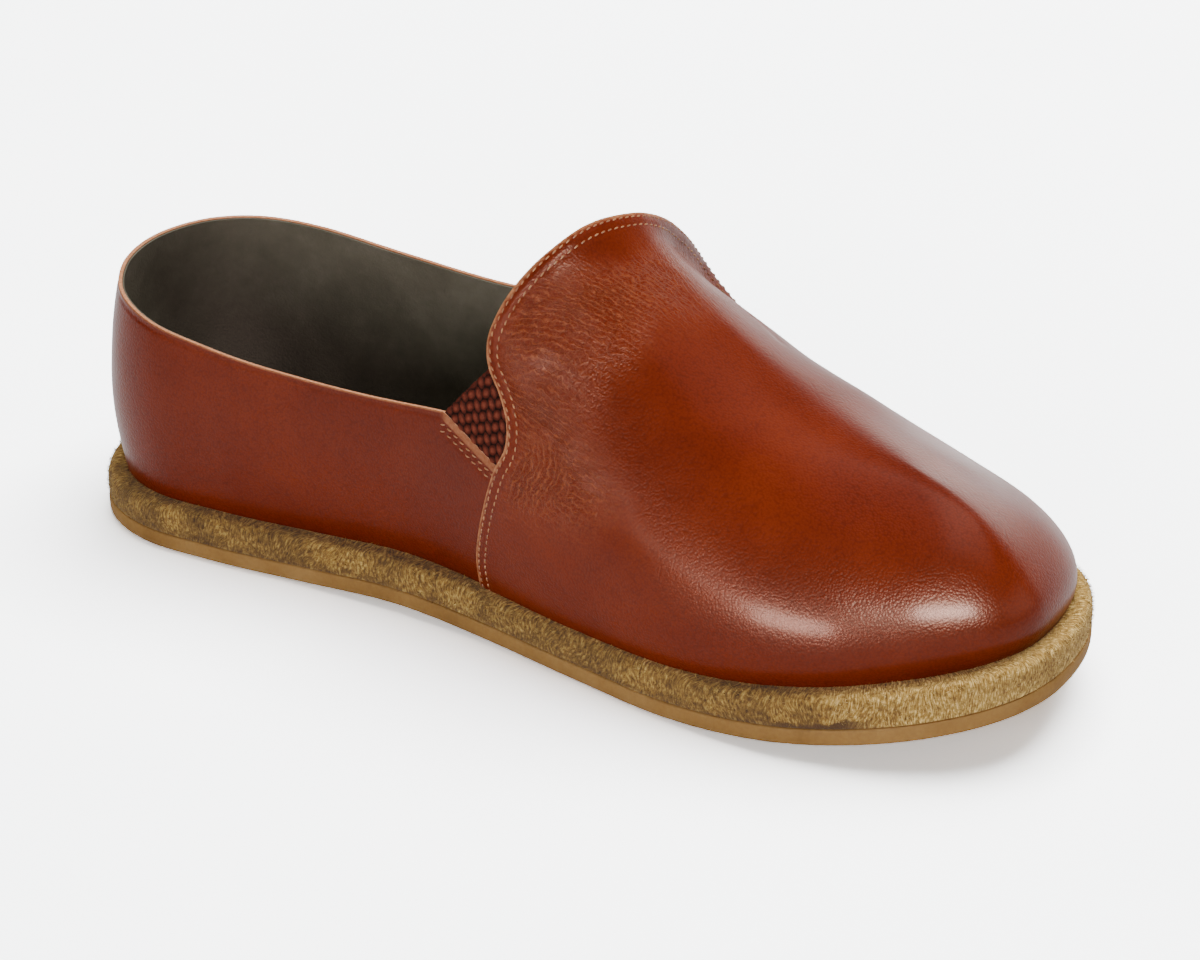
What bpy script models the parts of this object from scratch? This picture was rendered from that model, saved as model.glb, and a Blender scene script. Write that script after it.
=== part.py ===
"""Left slip-on loafer on a wide, foot-shaped last.

The shoe stands on its rubber sole: +X is the toe, +Y the lateral side, +Z up, and the origin
is under the middle of the sole. Every table and size is in millimetres, with x measured from
the heel, and the meshes are written in metres.
"""
import math

import bpy
import numpy as np

# Sole
SOLE_LENGTH = 284.0
RUBBER_THICKNESS = 4.6
RUBBER_EDGE_BEVEL = 1.1
RUBBER_EDGE_BULGE = 0.35
RUBBER_BULGE_HEIGHT = 0.6
MIDSOLE_THICKNESS = 7.4
MIDSOLE_TOE_EXTRA = 1.0
MIDSOLE_EXTRA_START = 0.6
MIDSOLE_SETBACK = 0.3
MIDSOLE_EDGE_ROUND = 2.2
MIDSOLE_CORNER_DEGREES = (10.0, 40.0, 65.0)
TOE_SPRING = 14.0
SPRING_START = 0.66
ARCH_LIFT = 1.6
ARCH_CENTRE = 0.40
ARCH_SPREAD = 0.085
ARCH_REACH = 50.0
LEAST_LIFT = 0.02

# Upper
QUARTER_WALL = 1.6
VAMP_WALL = 2.8
INSOLE_THICKNESS = 2.4
GUSSET_INNER = 0.3
GUSSET_WALL = 1.0
PIECE_GAP = 0.3
RELIEF_OVERSHOOT = 4.0
RELIEF_DROP = -2.0

# Mesh fineness
STATIONS = 38
RIB_ROWS = 13
CURVE_STEPS = 5
SHARP_DEGREES = 38.0
FACE_SHARES = (0.72, 0.36, 0.0)

# The rubber's outline: station along the length, then how far each side stands from the
# middle of the sole's overall width. The medial side is negative.
OUTLINE_COLUMNS = ("station", "medial", "lateral")
OUTLINE = (
    (0.00, -14.5, -14.5),
    (0.02, -37.0, 7.4),
    (0.06, -50.7, 18.9),
    (0.12, -57.2, 25.6),
    (0.20, -56.2, 30.0),
    (0.30, -52.5, 35.2),
    (0.40, -50.3, 42.1),
    (0.50, -50.8, 49.4),
    (0.60, -54.2, 55.2),
    (0.70, -57.5, 57.9),
    (0.80, -56.7, 54.5),
    (0.88, -50.8, 44.6),
    (0.94, -41.9, 32.0),
    (0.98, -30.8, 15.0),
    (1.00, -12.5, -12.5),
)

# How far the midsole stands out past the upper, by station.
FLANGE_COLUMNS = ("station", "medial", "lateral")
FLANGE = (
    (0.00, 4.0, 4.0),
    (0.25, 5.0, 4.5),
    (0.40, 5.5, 5.0),
    (0.55, 3.4, 5.0),
    (0.70, 4.0, 4.5),
    (0.85, 7.0, 4.5),
    (0.95, 9.5, 5.5),
    (1.00, 8.0, 8.0),
)

# Sections of the last: where the ridge over the foot runs, how full each side of the arch
# is (2 is an ellipse, more is squarer), and how far the wall swells past its foot.
LAST_COLUMNS = (
    "x",
    "ridge_y",
    "ridge_z",
    "full_medial",
    "full_lateral",
    "swell_medial",
    "swell_lateral",
)
LAST = (
    (46.0, -14.5, 114.0, 2.6, 2.6, 3.0, 3.0),
    (90.0, -12.0, 122.0, 2.7, 2.4, 3.5, 2.5),
    (125.0, -9.0, 122.0, 2.8, 2.0, 5.0, 1.5),
    (150.0, -8.0, 108.0, 2.8, 1.8, 5.0, 1.0),
    (165.0, -8.0, 94.0, 2.6, 1.6, 4.5, 1.0),
    (180.0, -8.0, 83.0, 2.45, 1.5, 4.0, 1.0),
    (200.0, -8.5, 71.0, 2.3, 1.65, 3.5, 1.5),
    (220.0, -9.5, 63.0, 2.3, 1.75, 3.5, 2.0),
    (238.0, -11.0, 58.5, 2.4, 1.95, 4.0, 3.5),
    (260.0, -12.0, 55.0, 2.5, 2.2, 4.0, 4.0),
    (284.0, -12.5, 50.0, 2.6, 2.3, 4.0, 4.0),
)
SPINE_START = 46.0
SPINE_END = 238.0

# The two sides' values blend over this many millimetres about the ridge. The swell is
# greatest a third of the way up, where the scale makes it 1.
SIDE_BLEND = 6.0
SWELL_SCALE = 27.0 / 4.0

# The opening is drawn from the side, x and z, as it runs along the medial side. Across the
# instep it slants: for each millimetre towards the lateral side it moves this much forward.
OPENING_SLANT = 0.25
SLANT_FROM_Y = -45.0
TAB_EDGE = (
    (150.0, 124.0),
    (148.8, 112.0),
    (147.2, 104.5),
    (144.6, 99.0),
    (142.4, 94.0),
    (140.3, 87.5),
    (139.6, 81.0),
    (141.5, 75.0),
)
GUSSET_VAMP_EDGE = ((141.5, 75.0), (146.0, 69.5), (149.8, 62.5), (150.2, 56.5), (148.0, 50.5))
GUSSET_QUARTER_EDGE = ((148.0, 50.5), (138.5, 55.0), (129.0, 60.0))
TOPLINE = ((129.0, 60.0), (105.0, 58.0), (75.0, 58.5), (45.0, 62.0), (20.0, 66.0), (-35.0, 70.0))
ABOVE_OPENING = ((-35.0, 150.0), (150.0, 150.0))

# The seam where the vamp laps over the quarter, and the ground behind it where the wall is
# thinner. The seam starts inside the gusset's notch.
SEAM = ((147.4, 53.4), (147.2, 49.0), (145.2, 43.0), (142.5, 34.0), (139.0, 22.0), (137.0, 8.0))
BEHIND_SEAM = ((137.0, -20.0), (-70.0, -20.0), (-70.0, 150.0), (130.0, 150.0), (130.0, 72.0))

# Cutters reach this far to each side, and the two gussets are parted at the ridge.
CUTTER_REACH = 90.0
GUSSET_PARTING = -8.0

COLOURS = {
    "upper_leather": ((0.235, 0.052, 0.018), 0.34),
    "split_leather": ((0.420, 0.300, 0.125), 0.95),
    "sole_rubber": ((0.500, 0.320, 0.190), 0.62),
    "elastic": ((0.070, 0.030, 0.022), 0.90),
    "insole_lining": ((0.300, 0.270, 0.215), 0.85),
}


def column(table, columns, name):
    """One named column of a table."""
    index = columns.index(name)
    return np.array([row[index] for row in table], dtype=float)


def smooth(knots, values, at):
    """A smooth curve through the knots, held level past both ends."""
    at = np.clip(np.asarray(at, dtype=float), knots[0], knots[-1])
    steps = np.diff(knots)
    slopes = np.diff(values) / steps
    tangents = np.empty(len(knots))
    tangents[0] = slopes[0]
    tangents[-1] = slopes[-1]
    tangents[1:-1] = (slopes[:-1] * steps[1:] + slopes[1:] * steps[:-1]) / (steps[1:] + steps[:-1])
    k = np.clip(np.searchsorted(knots, at, side="right") - 1, 0, len(steps) - 1)
    t = (at - knots[k]) / steps[k]
    h = steps[k]
    rise = values[k + 1] - values[k]
    bend = (tangents[k] + tangents[k + 1]) * h - 2.0 * rise
    lean = 3.0 * rise - (2.0 * tangents[k] + tangents[k + 1]) * h
    return values[k] + t * (tangents[k] * h + t * (lean + t * bend))


def turn(station):
    """Angle of a station round the outline, so that the ends come out round."""
    return np.arccos(np.clip(1.0 - 2.0 * np.asarray(station, dtype=float), -1.0, 1.0))


def around():
    """Stations round the sole: heel, medial side, toe, lateral side."""
    angle = np.arange(2 * STATIONS) * math.pi / STATIONS
    station = (1.0 - np.cos(angle)) / 2.0
    return station, angle < math.pi


def by_side(table, columns, prefix=""):
    """A table's medial and lateral columns, read round the whole outline."""
    station, medial = around()
    knots = turn(column(table, columns, "station"))
    angle = turn(station)
    inner = smooth(knots, column(table, columns, prefix + "medial"), angle)
    outer = smooth(knots, column(table, columns, prefix + "lateral"), angle)
    return np.where(medial, inner, outer)


def outline(inset):
    """The rubber's outline, drawn in by the inset."""
    station, _ = around()
    points = np.stack([station * SOLE_LENGTH, by_side(OUTLINE, OUTLINE_COLUMNS)], axis=1)
    along = np.roll(points, -1, axis=0) - np.roll(points, 1, axis=0)
    along /= np.linalg.norm(along, axis=1)[:, None]
    outward = np.stack([along[:, 1], -along[:, 0]], axis=1)
    return points - outward * np.broadcast_to(inset, (len(points),))[:, None]


def last_value(name, x):
    """One of the last's section values, read along the shoe."""
    return smooth(column(LAST, LAST_COLUMNS, "x"), column(LAST, LAST_COLUMNS, name), x)


def spine_share():
    """How far each station's rib reaches along the spine, from 0 at the heel to 1 at the toe."""
    station, _ = around()
    return station[: STATIONS + 1]


def spine_xy():
    """Plan of the spine, where the ribs of both sides meet."""
    x = SPINE_START + (SPINE_END - SPINE_START) * spine_share()
    return np.stack([x, last_value("ridge_y", x)], axis=1)


def sole_rise(xy):
    """Height of the underside above the ground: the toe spring, and the arch on the medial side."""
    station = xy[:, 0] / SOLE_LENGTH
    spring = TOE_SPRING * np.clip((station - SPRING_START) / (1.0 - SPRING_START), 0.0, 1.1) ** 2
    reach = np.clip(-xy[:, 1] / ARCH_REACH, 0.0, 1.0)
    arch = ARCH_LIFT * np.exp(-(((station - ARCH_CENTRE) / ARCH_SPREAD) ** 2)) * reach
    return spring + np.where(arch > LEAST_LIFT, arch, 0.0)


def midsole_top(xy):
    """Height of the midsole's upper face, which the upper and the insole stand on."""
    station = np.clip(xy[:, 0] / SOLE_LENGTH, 0.0, 1.0)
    towards_toe = (station - MIDSOLE_EXTRA_START) / (1.0 - MIDSOLE_EXTRA_START)
    extra = MIDSOLE_TOE_EXTRA * np.clip(towards_toe, 0.0, 1.0)
    return sole_rise(xy) + RUBBER_THICKNESS + PIECE_GAP + MIDSOLE_THICKNESS + extra


def level(xy, height):
    """Plan points with heights."""
    return np.column_stack([xy, height])


def to_mesh(name, points, faces):
    """A mesh in metres with its origin under the middle of the sole."""
    placed = (points - np.array([SOLE_LENGTH / 2.0, 0.0, 0.0])) * 0.001
    mesh = bpy.data.meshes.new(name)
    mesh.from_pydata(placed.tolist(), [], faces)
    mesh.validate()
    mesh.shade_smooth()
    mesh.set_sharp_from_angle(angle=math.radians(SHARP_DEGREES))
    return mesh


def ring_faces(lower, upper, count):
    """Quads between two rings of points that both go round the outline."""
    ahead = [(i + 1) % count for i in range(count)]
    return [(lower + i, lower + k, upper + k, upper + i) for i, k in enumerate(ahead)]


def spine_faces(ring, spine, count):
    """Quads that close a ring on the spine, whose points both sides share."""
    shared = [spine + min(i, count - i) for i in range(count + 1)]
    return [(ring + i, ring + (i + 1) % count, shared[i + 1], shared[i]) for i in range(count)]


def slab(name, rings, spine_low, spine_high):
    """A closed slab: a lower spine, rings from bottom to top, and an upper spine."""
    count = 2 * STATIONS
    points = np.vstack(list(rings) + [spine_low, spine_high])
    low = count * len(rings)
    high = low + STATIONS + 1
    faces = [face[::-1] for face in spine_faces(0, low, count)]
    for k in range(len(rings) - 1):
        faces += ring_faces(count * k, count * (k + 1), count)
    faces += spine_faces(count * (len(rings) - 1), high, count)
    return to_mesh(name, points, faces)


def flat_rings(inset, height_of, shares):
    """Rings across a face, from its rim towards the spine."""
    rim = outline(inset)
    half = spine_xy()
    spine = np.vstack([half, half[-2:0:-1]])
    drawn = [rim + (spine - rim) * share for share in shares]
    return [level(xy, height_of(xy)) for xy in drawn]


def outsole_mesh():
    """Rubber: bevelled at the ground, slightly swollen at the side."""
    def top(xy):
        return sole_rise(xy) + RUBBER_THICKNESS

    ground = flat_rings(RUBBER_EDGE_BEVEL, sole_rise, FACE_SHARES)
    side = []
    bulge_height = RUBBER_THICKNESS * RUBBER_BULGE_HEIGHT
    for inset, lift in ((RUBBER_EDGE_BULGE, RUBBER_EDGE_BEVEL), (0.0, bulge_height)):
        xy = outline(inset)
        side.append(level(xy, sole_rise(xy) + lift))
    upper_face = flat_rings(RUBBER_EDGE_BULGE, top, FACE_SHARES[::-1])
    spine = spine_xy()
    rings = ground + side + upper_face
    return slab("outsole", rings, level(spine, sole_rise(spine)), level(spine, top(spine)))


def midsole_mesh():
    """Split leather: a thick edge with a rounded upper corner."""
    def under(xy):
        return sole_rise(xy) + RUBBER_THICKNESS + PIECE_GAP

    ground = flat_rings(MIDSOLE_SETBACK, under, FACE_SHARES)
    xy = outline(MIDSOLE_SETBACK / 2.0)
    corner = [level(xy, under(xy) + MIDSOLE_THICKNESS / 2.0)]
    for angle in MIDSOLE_CORNER_DEGREES:
        bend = math.radians(angle)
        xy = outline(MIDSOLE_SETBACK + MIDSOLE_EDGE_ROUND * (1.0 - math.cos(bend)))
        corner.append(level(xy, midsole_top(xy) - MIDSOLE_EDGE_ROUND * (1.0 - math.sin(bend))))
    upper_face = flat_rings(MIDSOLE_SETBACK + MIDSOLE_EDGE_ROUND, midsole_top, FACE_SHARES[::-1])
    spine = spine_xy()
    rings = ground + corner + upper_face
    return slab("midsole", rings, level(spine, under(spine)), level(spine, midsole_top(spine)))


def insole_mesh():
    """A thin sheet that fills the floor of the upper."""
    inset = by_side(FLANGE, FLANGE_COLUMNS) + VAMP_WALL + PIECE_GAP

    def under(xy):
        return midsole_top(xy) + PIECE_GAP

    def top(xy):
        return under(xy) + INSOLE_THICKNESS

    spine = spine_xy()
    rings = flat_rings(inset, under, FACE_SHARES) + flat_rings(inset, top, FACE_SHARES[::-1])
    return slab("insole", rings, level(spine, under(spine)), level(spine, top(spine)))


def section_shape():
    """Fullness and swell of every rib round the outline."""
    half = spine_xy()[:, 0]
    x = np.concatenate([half, half[-2:0:-1]])
    past_ridge = by_side(OUTLINE, OUTLINE_COLUMNS) - last_value("ridge_y", x)
    lateral = 1.0 / (1.0 + np.exp(-past_ridge / SIDE_BLEND))
    shape = []
    for name in ("full", "swell"):
        inner = last_value(name + "_medial", x)
        shape.append(inner + (last_value(name + "_lateral", x) - inner) * lateral)
    return shape


def skin():
    """The inside of the upper: ribs from the sole's edge to the ridge, as rings and a spine."""
    foot = outline(by_side(FLANGE, FLANGE_COLUMNS) + VAMP_WALL)
    outward = outline(0.0) - outline(1.0)
    floor = midsole_top(foot) + PIECE_GAP
    half = spine_xy()
    ridge = np.vstack([half, half[-2:0:-1]])
    full, swell_most = section_shape()
    rings = []
    for row in range(RIB_ROWS):
        rise = math.sin(0.5 * math.pi * row / RIB_ROWS) ** (2.0 / full)
        reach = 1.0 - np.maximum(1.0 - rise**full, 0.0) ** (1.0 / full)
        swell = swell_most * SWELL_SCALE * rise * (1.0 - rise) ** 2
        xy = foot + (ridge - foot) * reach[:, None] + outward * swell[:, None]
        rings.append(level(xy, floor + (last_value("ridge_z", xy[:, 0]) - floor) * rise))
    return rings, level(half, last_value("ridge_z", half[:, 0]))


def skin_faces():
    """Faces of the open skin, pointing outwards."""
    count = 2 * STATIONS
    faces = []
    for k in range(RIB_ROWS - 1):
        faces += ring_faces(count * k, count * (k + 1), count)
    return faces + spine_faces(count * (RIB_ROWS - 1), count * RIB_ROWS, count)


def normals(points, faces):
    """Unit normals at the points."""
    total = np.zeros_like(points)
    for face in faces:
        a, b, c, d = (points[i] for i in face)
        total[list(face)] += np.cross(c - a, d - b)
    return total / np.linalg.norm(total, axis=1)[:, None]


def layer(name, inner, outer, foot_gap):
    """A closed shell between two distances out from the inside of the upper."""
    rings, spine = skin()
    base = np.vstack(rings + [spine])
    faces = skin_faces()
    out = normals(base, faces)
    count = 2 * STATIONS
    plan = outline(0.0) - outline(1.0)
    walls = []
    for distance in (inner, outer):
        wall = base + out * distance
        foot = rings[0][:, :2] + plan * distance
        wall[:count] = level(foot, midsole_top(foot) + foot_gap)
        walls.append(wall)
    shift = len(base)
    closed = [face[::-1] for face in faces]
    closed += [tuple(i + shift for i in face) for face in faces]
    closed += [face[::-1] for face in ring_faces(shift, 0, count)]
    return to_mesh(name, np.vstack(walls), closed)


def curve(points):
    """A smooth line through points seen from the side."""
    points = np.array(points, dtype=float)
    length = np.concatenate([[0.0], np.cumsum(np.linalg.norm(np.diff(points, axis=0), axis=1))])
    share = np.linspace(0.0, 1.0, CURVE_STEPS + 1)[:-1]
    at = np.concatenate([a + (b - a) * share for a, b in zip(length[:-1], length[1:])] + [length[-1:]])
    return np.stack([smooth(length, points[:, 0], at), smooth(length, points[:, 1], at)], axis=1)


def drawn_in(corners, distance):
    """A closed side view outline with its edges moved inwards."""
    corners = np.array(corners, dtype=float)
    ahead = np.roll(corners, -1, axis=0) - corners
    ahead /= np.linalg.norm(ahead, axis=1)[:, None]
    side = np.stack([-ahead[:, 1], ahead[:, 0]], axis=1)
    before = np.roll(side, 1, axis=0)
    joint = side + before
    scale = 1.0 + np.sum(side * before, axis=1)
    area = np.sum(corners[:, 0] * np.roll(corners[:, 1], -1) - np.roll(corners[:, 0], -1) * corners[:, 1])
    return corners + joint / scale[:, None] * distance * math.copysign(1.0, area)


def cutter(name, mesh):
    """A mesh kept as a cutter."""
    kept = bpy.data.objects.new(name, mesh)
    cutters.objects.link(kept)
    kept.hide_render = True
    kept.display_type = "WIRE"
    return kept


def prism(name, side_view, low_y, high_y):
    """A side view outline pushed across the shoe on the slant, as a cutter."""
    points = [tuple(p) for p in side_view]
    count = len(points)
    area = sum(a[0] * b[1] - b[0] * a[1] for a, b in zip(points, points[1:] + points[:1]))
    if area < 0.0:
        points = points[::-1]
    ends = []
    for y in (low_y, high_y):
        forward = OPENING_SLANT * (y - SLANT_FROM_Y)
        ends.append(np.array([(x + forward, y, z) for x, z in points]))
    faces = [tuple(range(count)), tuple(range(2 * count - 1, count - 1, -1))]
    faces += [(i, i + count, (i + 1) % count + count, (i + 1) % count) for i in range(count)]
    return cutter(name, to_mesh(name, np.vstack(ends), faces))


def boolean(target, cutter, operation):
    """A live Boolean on the target."""
    modifier = target.modifiers.new(cutter.name, "BOOLEAN")
    modifier.operation = operation
    modifier.solver = "EXACT"
    modifier.object = cutter


def finish(name, mesh, material):
    """A sub-part of the shoe with its own material."""
    colour, roughness = COLOURS[material]
    finished = bpy.data.materials.new(material + "_" + name)
    finished.use_nodes = True
    shader = finished.node_tree.nodes["Principled BSDF"]
    shader.inputs["Base Color"].default_value = (*colour, 1.0)
    shader.inputs["Roughness"].default_value = roughness
    shader.inputs["Metallic"].default_value = 0.0
    piece = bpy.data.objects.new(name, mesh)
    piece.data.materials.append(finished)
    shoe.objects.link(piece)
    return piece


for old in list(bpy.data.objects):
    bpy.data.objects.remove(old, do_unlink=True)
shoe = bpy.data.collections.new("slip_on_loafer")
cutters = bpy.data.collections.new("cutters")
bpy.context.scene.collection.children.link(shoe)
bpy.context.scene.collection.children.link(cutters)

finish("outsole", outsole_mesh(), "sole_rubber")
finish("midsole", midsole_mesh(), "split_leather")
finish("insole", insole_mesh(), "insole_lining")

notch = np.vstack([curve(GUSSET_VAMP_EDGE), curve(GUSSET_QUARTER_EDGE)[1:]])
opening = np.vstack([curve(TAB_EDGE)[:-1], notch, curve(TOPLINE)[1:], ABOVE_OPENING])
behind_vamp = np.vstack([curve(SEAM), BEHIND_SEAM])

upper = finish("upper", layer("upper", 0.0, VAMP_WALL, PIECE_GAP), "upper_leather")
relief_outer = VAMP_WALL + RELIEF_OVERSHOOT
relief = cutter("quarter_relief", layer("quarter_relief", QUARTER_WALL, relief_outer, RELIEF_DROP))
boolean(relief, prism("behind_vamp", behind_vamp, -CUTTER_REACH, CUTTER_REACH), "INTERSECT")
boolean(upper, relief, "DIFFERENCE")
boolean(upper, prism("opening", opening, -CUTTER_REACH, CUTTER_REACH), "DIFFERENCE")

window = drawn_in(notch, PIECE_GAP)
parted = (("medial", -CUTTER_REACH, GUSSET_PARTING), ("lateral", GUSSET_PARTING, CUTTER_REACH))
for side, low_y, high_y in parted:
    name = "gusset_" + side
    gusset = finish(name, layer(name, GUSSET_INNER, GUSSET_INNER + GUSSET_WALL, PIECE_GAP), "elastic")
    boolean(gusset, prism("window_" + side, window, low_y, high_y), "INTERSECT")
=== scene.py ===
"""A left slip-on loafer, dressed: smooth brown leather over a napped midsole and a tan rubber sole."""
import math

import bpy
import numpy as np
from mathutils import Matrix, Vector, noise


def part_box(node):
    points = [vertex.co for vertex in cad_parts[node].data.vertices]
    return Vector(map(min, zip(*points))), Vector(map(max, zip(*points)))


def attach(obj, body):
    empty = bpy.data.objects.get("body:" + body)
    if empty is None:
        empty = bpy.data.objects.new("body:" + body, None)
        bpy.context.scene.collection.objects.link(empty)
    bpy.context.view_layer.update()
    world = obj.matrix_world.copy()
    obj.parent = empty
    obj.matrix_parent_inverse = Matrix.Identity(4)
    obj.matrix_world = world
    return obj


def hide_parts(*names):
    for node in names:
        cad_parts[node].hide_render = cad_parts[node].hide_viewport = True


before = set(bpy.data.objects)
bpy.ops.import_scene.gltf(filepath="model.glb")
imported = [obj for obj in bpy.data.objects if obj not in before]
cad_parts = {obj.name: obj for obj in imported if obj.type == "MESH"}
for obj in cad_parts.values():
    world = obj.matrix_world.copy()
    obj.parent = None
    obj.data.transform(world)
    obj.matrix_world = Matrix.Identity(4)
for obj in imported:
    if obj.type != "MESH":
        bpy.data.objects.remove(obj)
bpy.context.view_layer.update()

MM = 0.001


# ---- Camera ------------------------------------------------------------------------------
# It looks down on the inner side and the toe, from a little over half a metre in front,
# through a long lens that the one shoe fills.
CAMERA_PLACE = (0.4233, -0.6302, 0.4082)
CAMERA_AIM = (0.0060, -0.0075, 0.0297)
CAMERA_LENS = 97.5

bpy.ops.object.camera_add(location=CAMERA_PLACE)
camera = bpy.context.object
camera.name = "camera"
camera.data.lens = CAMERA_LENS
camera.data.sensor_width = 36.0
looking = Vector(CAMERA_AIM) - Vector(CAMERA_PLACE)
camera.rotation_euler = looking.to_track_quat("-Z", "Y").to_euler()
bpy.context.scene.camera = camera


# ---- Outsole -----------------------------------------------------------------------------
# A thin sheet of tan rubber, moulded with a smooth side, a smooth rim and a field of small
# round studs underneath. It is cemented to the midsole and trimmed with it.
sole_low, sole_high = (Vector(corner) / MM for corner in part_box("outsole"))
SOLE_LENGTH = sole_high.x - sole_low.x
RUBBER_THICKNESS = 4.6
TOE_SPRING = 14.0
SPRING_START = 0.66
ARCH_LIFT = 1.6
ARCH_CENTRE = 0.40
ARCH_SPREAD = 0.085
ARCH_REACH = 50.0

# How far each side of the rubber stands from the middle line: station, medial, lateral.
OUTLINE = (
    (0.00, -14.5, -14.5),
    (0.02, -37.0, 7.4),
    (0.06, -50.7, 18.9),
    (0.12, -57.2, 25.6),
    (0.20, -56.2, 30.0),
    (0.30, -52.5, 35.2),
    (0.40, -50.3, 42.1),
    (0.50, -50.8, 49.4),
    (0.60, -54.2, 55.2),
    (0.70, -57.5, 57.9),
    (0.80, -56.7, 54.5),
    (0.88, -50.8, 44.6),
    (0.94, -41.9, 32.0),
    (0.98, -30.8, 15.0),
    (1.00, -12.5, -12.5),
)
MEDIAL, LATERAL = -1, 1
SPINE_START = 46.0
SPINE_END = 238.0
SPINE_Y = -11.0
NUDGE = 0.01
SHARP = math.radians(50.0)


def column(table, place):
    """One column of a table."""
    return np.array([row[place] for row in table], dtype=float)


def smooth(knots, values, at):
    """A smooth curve through the knots, held level past both ends."""
    at = np.clip(np.asarray(at, dtype=float), knots[0], knots[-1])
    steps = np.diff(knots)
    slopes = np.diff(values) / steps
    tangents = np.concatenate([slopes[:1], np.zeros(len(knots) - 2), slopes[-1:]])
    tangents[1:-1] = (slopes[:-1] * steps[1:] + slopes[1:] * steps[:-1]) / (steps[1:] + steps[:-1])
    k = np.clip(np.searchsorted(knots, at, side="right") - 1, 0, len(steps) - 1)
    t = (at - knots[k]) / steps[k]
    bend = (tangents[k] + tangents[k + 1]) * steps[k] - 2.0 * (values[k + 1] - values[k])
    lean = 3.0 * (values[k + 1] - values[k]) - (2.0 * tangents[k] + tangents[k + 1]) * steps[k]
    return values[k] + t * (tangents[k] * steps[k] + t * (lean + t * bend))


def side_value(table, side, turn):
    """A table's value on the medial or lateral side. Turn runs from 0 at the heel to pi at the toe."""
    knots = np.arccos(1.0 - 2.0 * column(table, 0))
    return np.where(side < 0, smooth(knots, column(table, 1), turn), smooth(knots, column(table, 2), turn))


def station_of(turn):
    """How far along the sole a turn lies, from 0 to 1."""
    return (1.0 - np.cos(turn)) / 2.0


def rim(side, turn):
    """The rubber's outline in plan."""
    across = side_value(OUTLINE, side, turn)
    return np.stack(np.broadcast_arrays(station_of(turn) * SOLE_LENGTH, across), -1)


def rim_outward(side, turn):
    """Which way is outwards from the outline, in plan."""
    side, turn = np.broadcast_arrays(side, turn)
    ahead, behind = turn + NUDGE, turn - NUDGE
    ahead = rim(np.where(ahead > math.pi, -side, side), np.minimum(ahead, 2.0 * math.pi - ahead))
    behind = rim(np.where(behind < 0.0, -side, side), np.abs(behind))
    along = (ahead - behind) / np.linalg.norm(ahead - behind, axis=-1, keepdims=True)
    return np.stack([-along[..., 1], along[..., 0]], -1) * side[..., None]


def drawn_in(side, turn, inset):
    """The outline drawn in by an inset."""
    return rim(side, turn) - rim_outward(side, turn) * np.asarray(inset)[..., None]


def sole_rise(xy):
    """Height of the rubber's underside: toe spring, and the arch on the medial side."""
    station = xy[..., 0] / SOLE_LENGTH
    spring = TOE_SPRING * np.clip((station - SPRING_START) / (1.0 - SPRING_START), 0.0, 1.1) ** 2
    reach = np.clip(-xy[..., 1] / ARCH_REACH, 0.0, 1.0)
    return spring + ARCH_LIFT * np.exp(-(((station - ARCH_CENTRE) / ARCH_SPREAD) ** 2)) * reach


def deselect():
    """Nothing selected."""
    bpy.ops.object.select_all(action="DESELECT")


def pick(piece):
    """Only this piece selected, and active."""
    deselect()
    piece.select_set(True)
    bpy.context.view_layer.objects.active = piece


def sheet(name, places):
    """A grid wrapped into shape. Its points are in millimetres from the heel, as rows by columns."""
    deselect()
    rows, columns = places.shape[:2]
    bpy.ops.mesh.primitive_grid_add(x_subdivisions=columns - 1, y_subdivisions=rows - 1, size=2.0)
    piece = bpy.context.object
    piece.name = piece.data.name = name
    metres = (places - np.array([SOLE_LENGTH / 2.0, 0.0, 0.0])) * MM
    piece.data.vertices.foreach_set("co", metres.reshape(-1))
    piece.data.update()
    return piece


def sew(piece, distance=0.02):
    """Merges points that lie together, turns the faces outwards and shades them smooth."""
    pick(piece)
    bpy.ops.object.mode_set(mode="EDIT")
    bpy.ops.mesh.select_all(action="SELECT")
    bpy.ops.mesh.remove_doubles(threshold=distance * MM)
    bpy.ops.mesh.normals_make_consistent(inside=False)
    bpy.ops.object.mode_set(mode="OBJECT")
    bpy.ops.object.shade_smooth_by_angle(angle=SHARP)


def swept(name, profile, low, high, columns, outline=drawn_in):
    """A closed slab. A row of its profile gives nearness to the spine, inset and share of the height."""
    turn = np.linspace(0.0, 2.0 * math.pi, columns)
    side = np.where(turn <= math.pi, MEDIAL, LATERAL)
    turn = np.where(turn <= math.pi, turn, 2.0 * math.pi - turn)
    spine_x = SPINE_START + (SPINE_END - SPINE_START) * station_of(turn)
    spine = np.stack([spine_x, np.full(columns, SPINE_Y)], -1)
    rows = []
    for nearness, inset, share in profile:
        edge = outline(side, turn, np.full(columns, inset))
        xy = edge + (spine - edge) * nearness
        rows.append(np.column_stack([xy, low(xy) + (high(xy) - low(xy)) * share]))
    return sheet(name, np.stack(rows))


def rubber_top(xy):
    """Where the rubber meets the midsole."""
    return sole_rise(xy) + RUBBER_THICKNESS


RUBBER_PROFILE = (
    (1.00, 1.1, 0.00),
    (0.80, 1.1, 0.00),
    (0.55, 1.1, 0.00),
    (0.30, 1.1, 0.00),
    (0.10, 1.1, 0.00),
    (0.00, 1.5, 0.00),
    (0.00, 0.90, 0.005),
    (0.00, 0.50, 0.04),
    (0.00, 0.22, 0.13),
    (0.00, 0.06, 0.32),
    (0.00, 0.00, 0.60),
    (0.00, 0.03, 0.86),
    (0.00, 0.16, 0.96),
    (0.00, 0.50, 1.00),
    (0.30, 0.60, 1.00),
    (0.65, 0.60, 1.00),
    (1.00, 0.60, 1.00),
)
outsole = swept("rubber_outsole", RUBBER_PROFILE, sole_rise, rubber_top, 480)
sew(outsole)


def new_material(name):
    """A material, its node tree and its Principled shader."""
    material = bpy.data.materials.new(name)
    material.use_nodes = True
    return material, material.node_tree, material.node_tree.nodes["Principled BSDF"]


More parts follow.
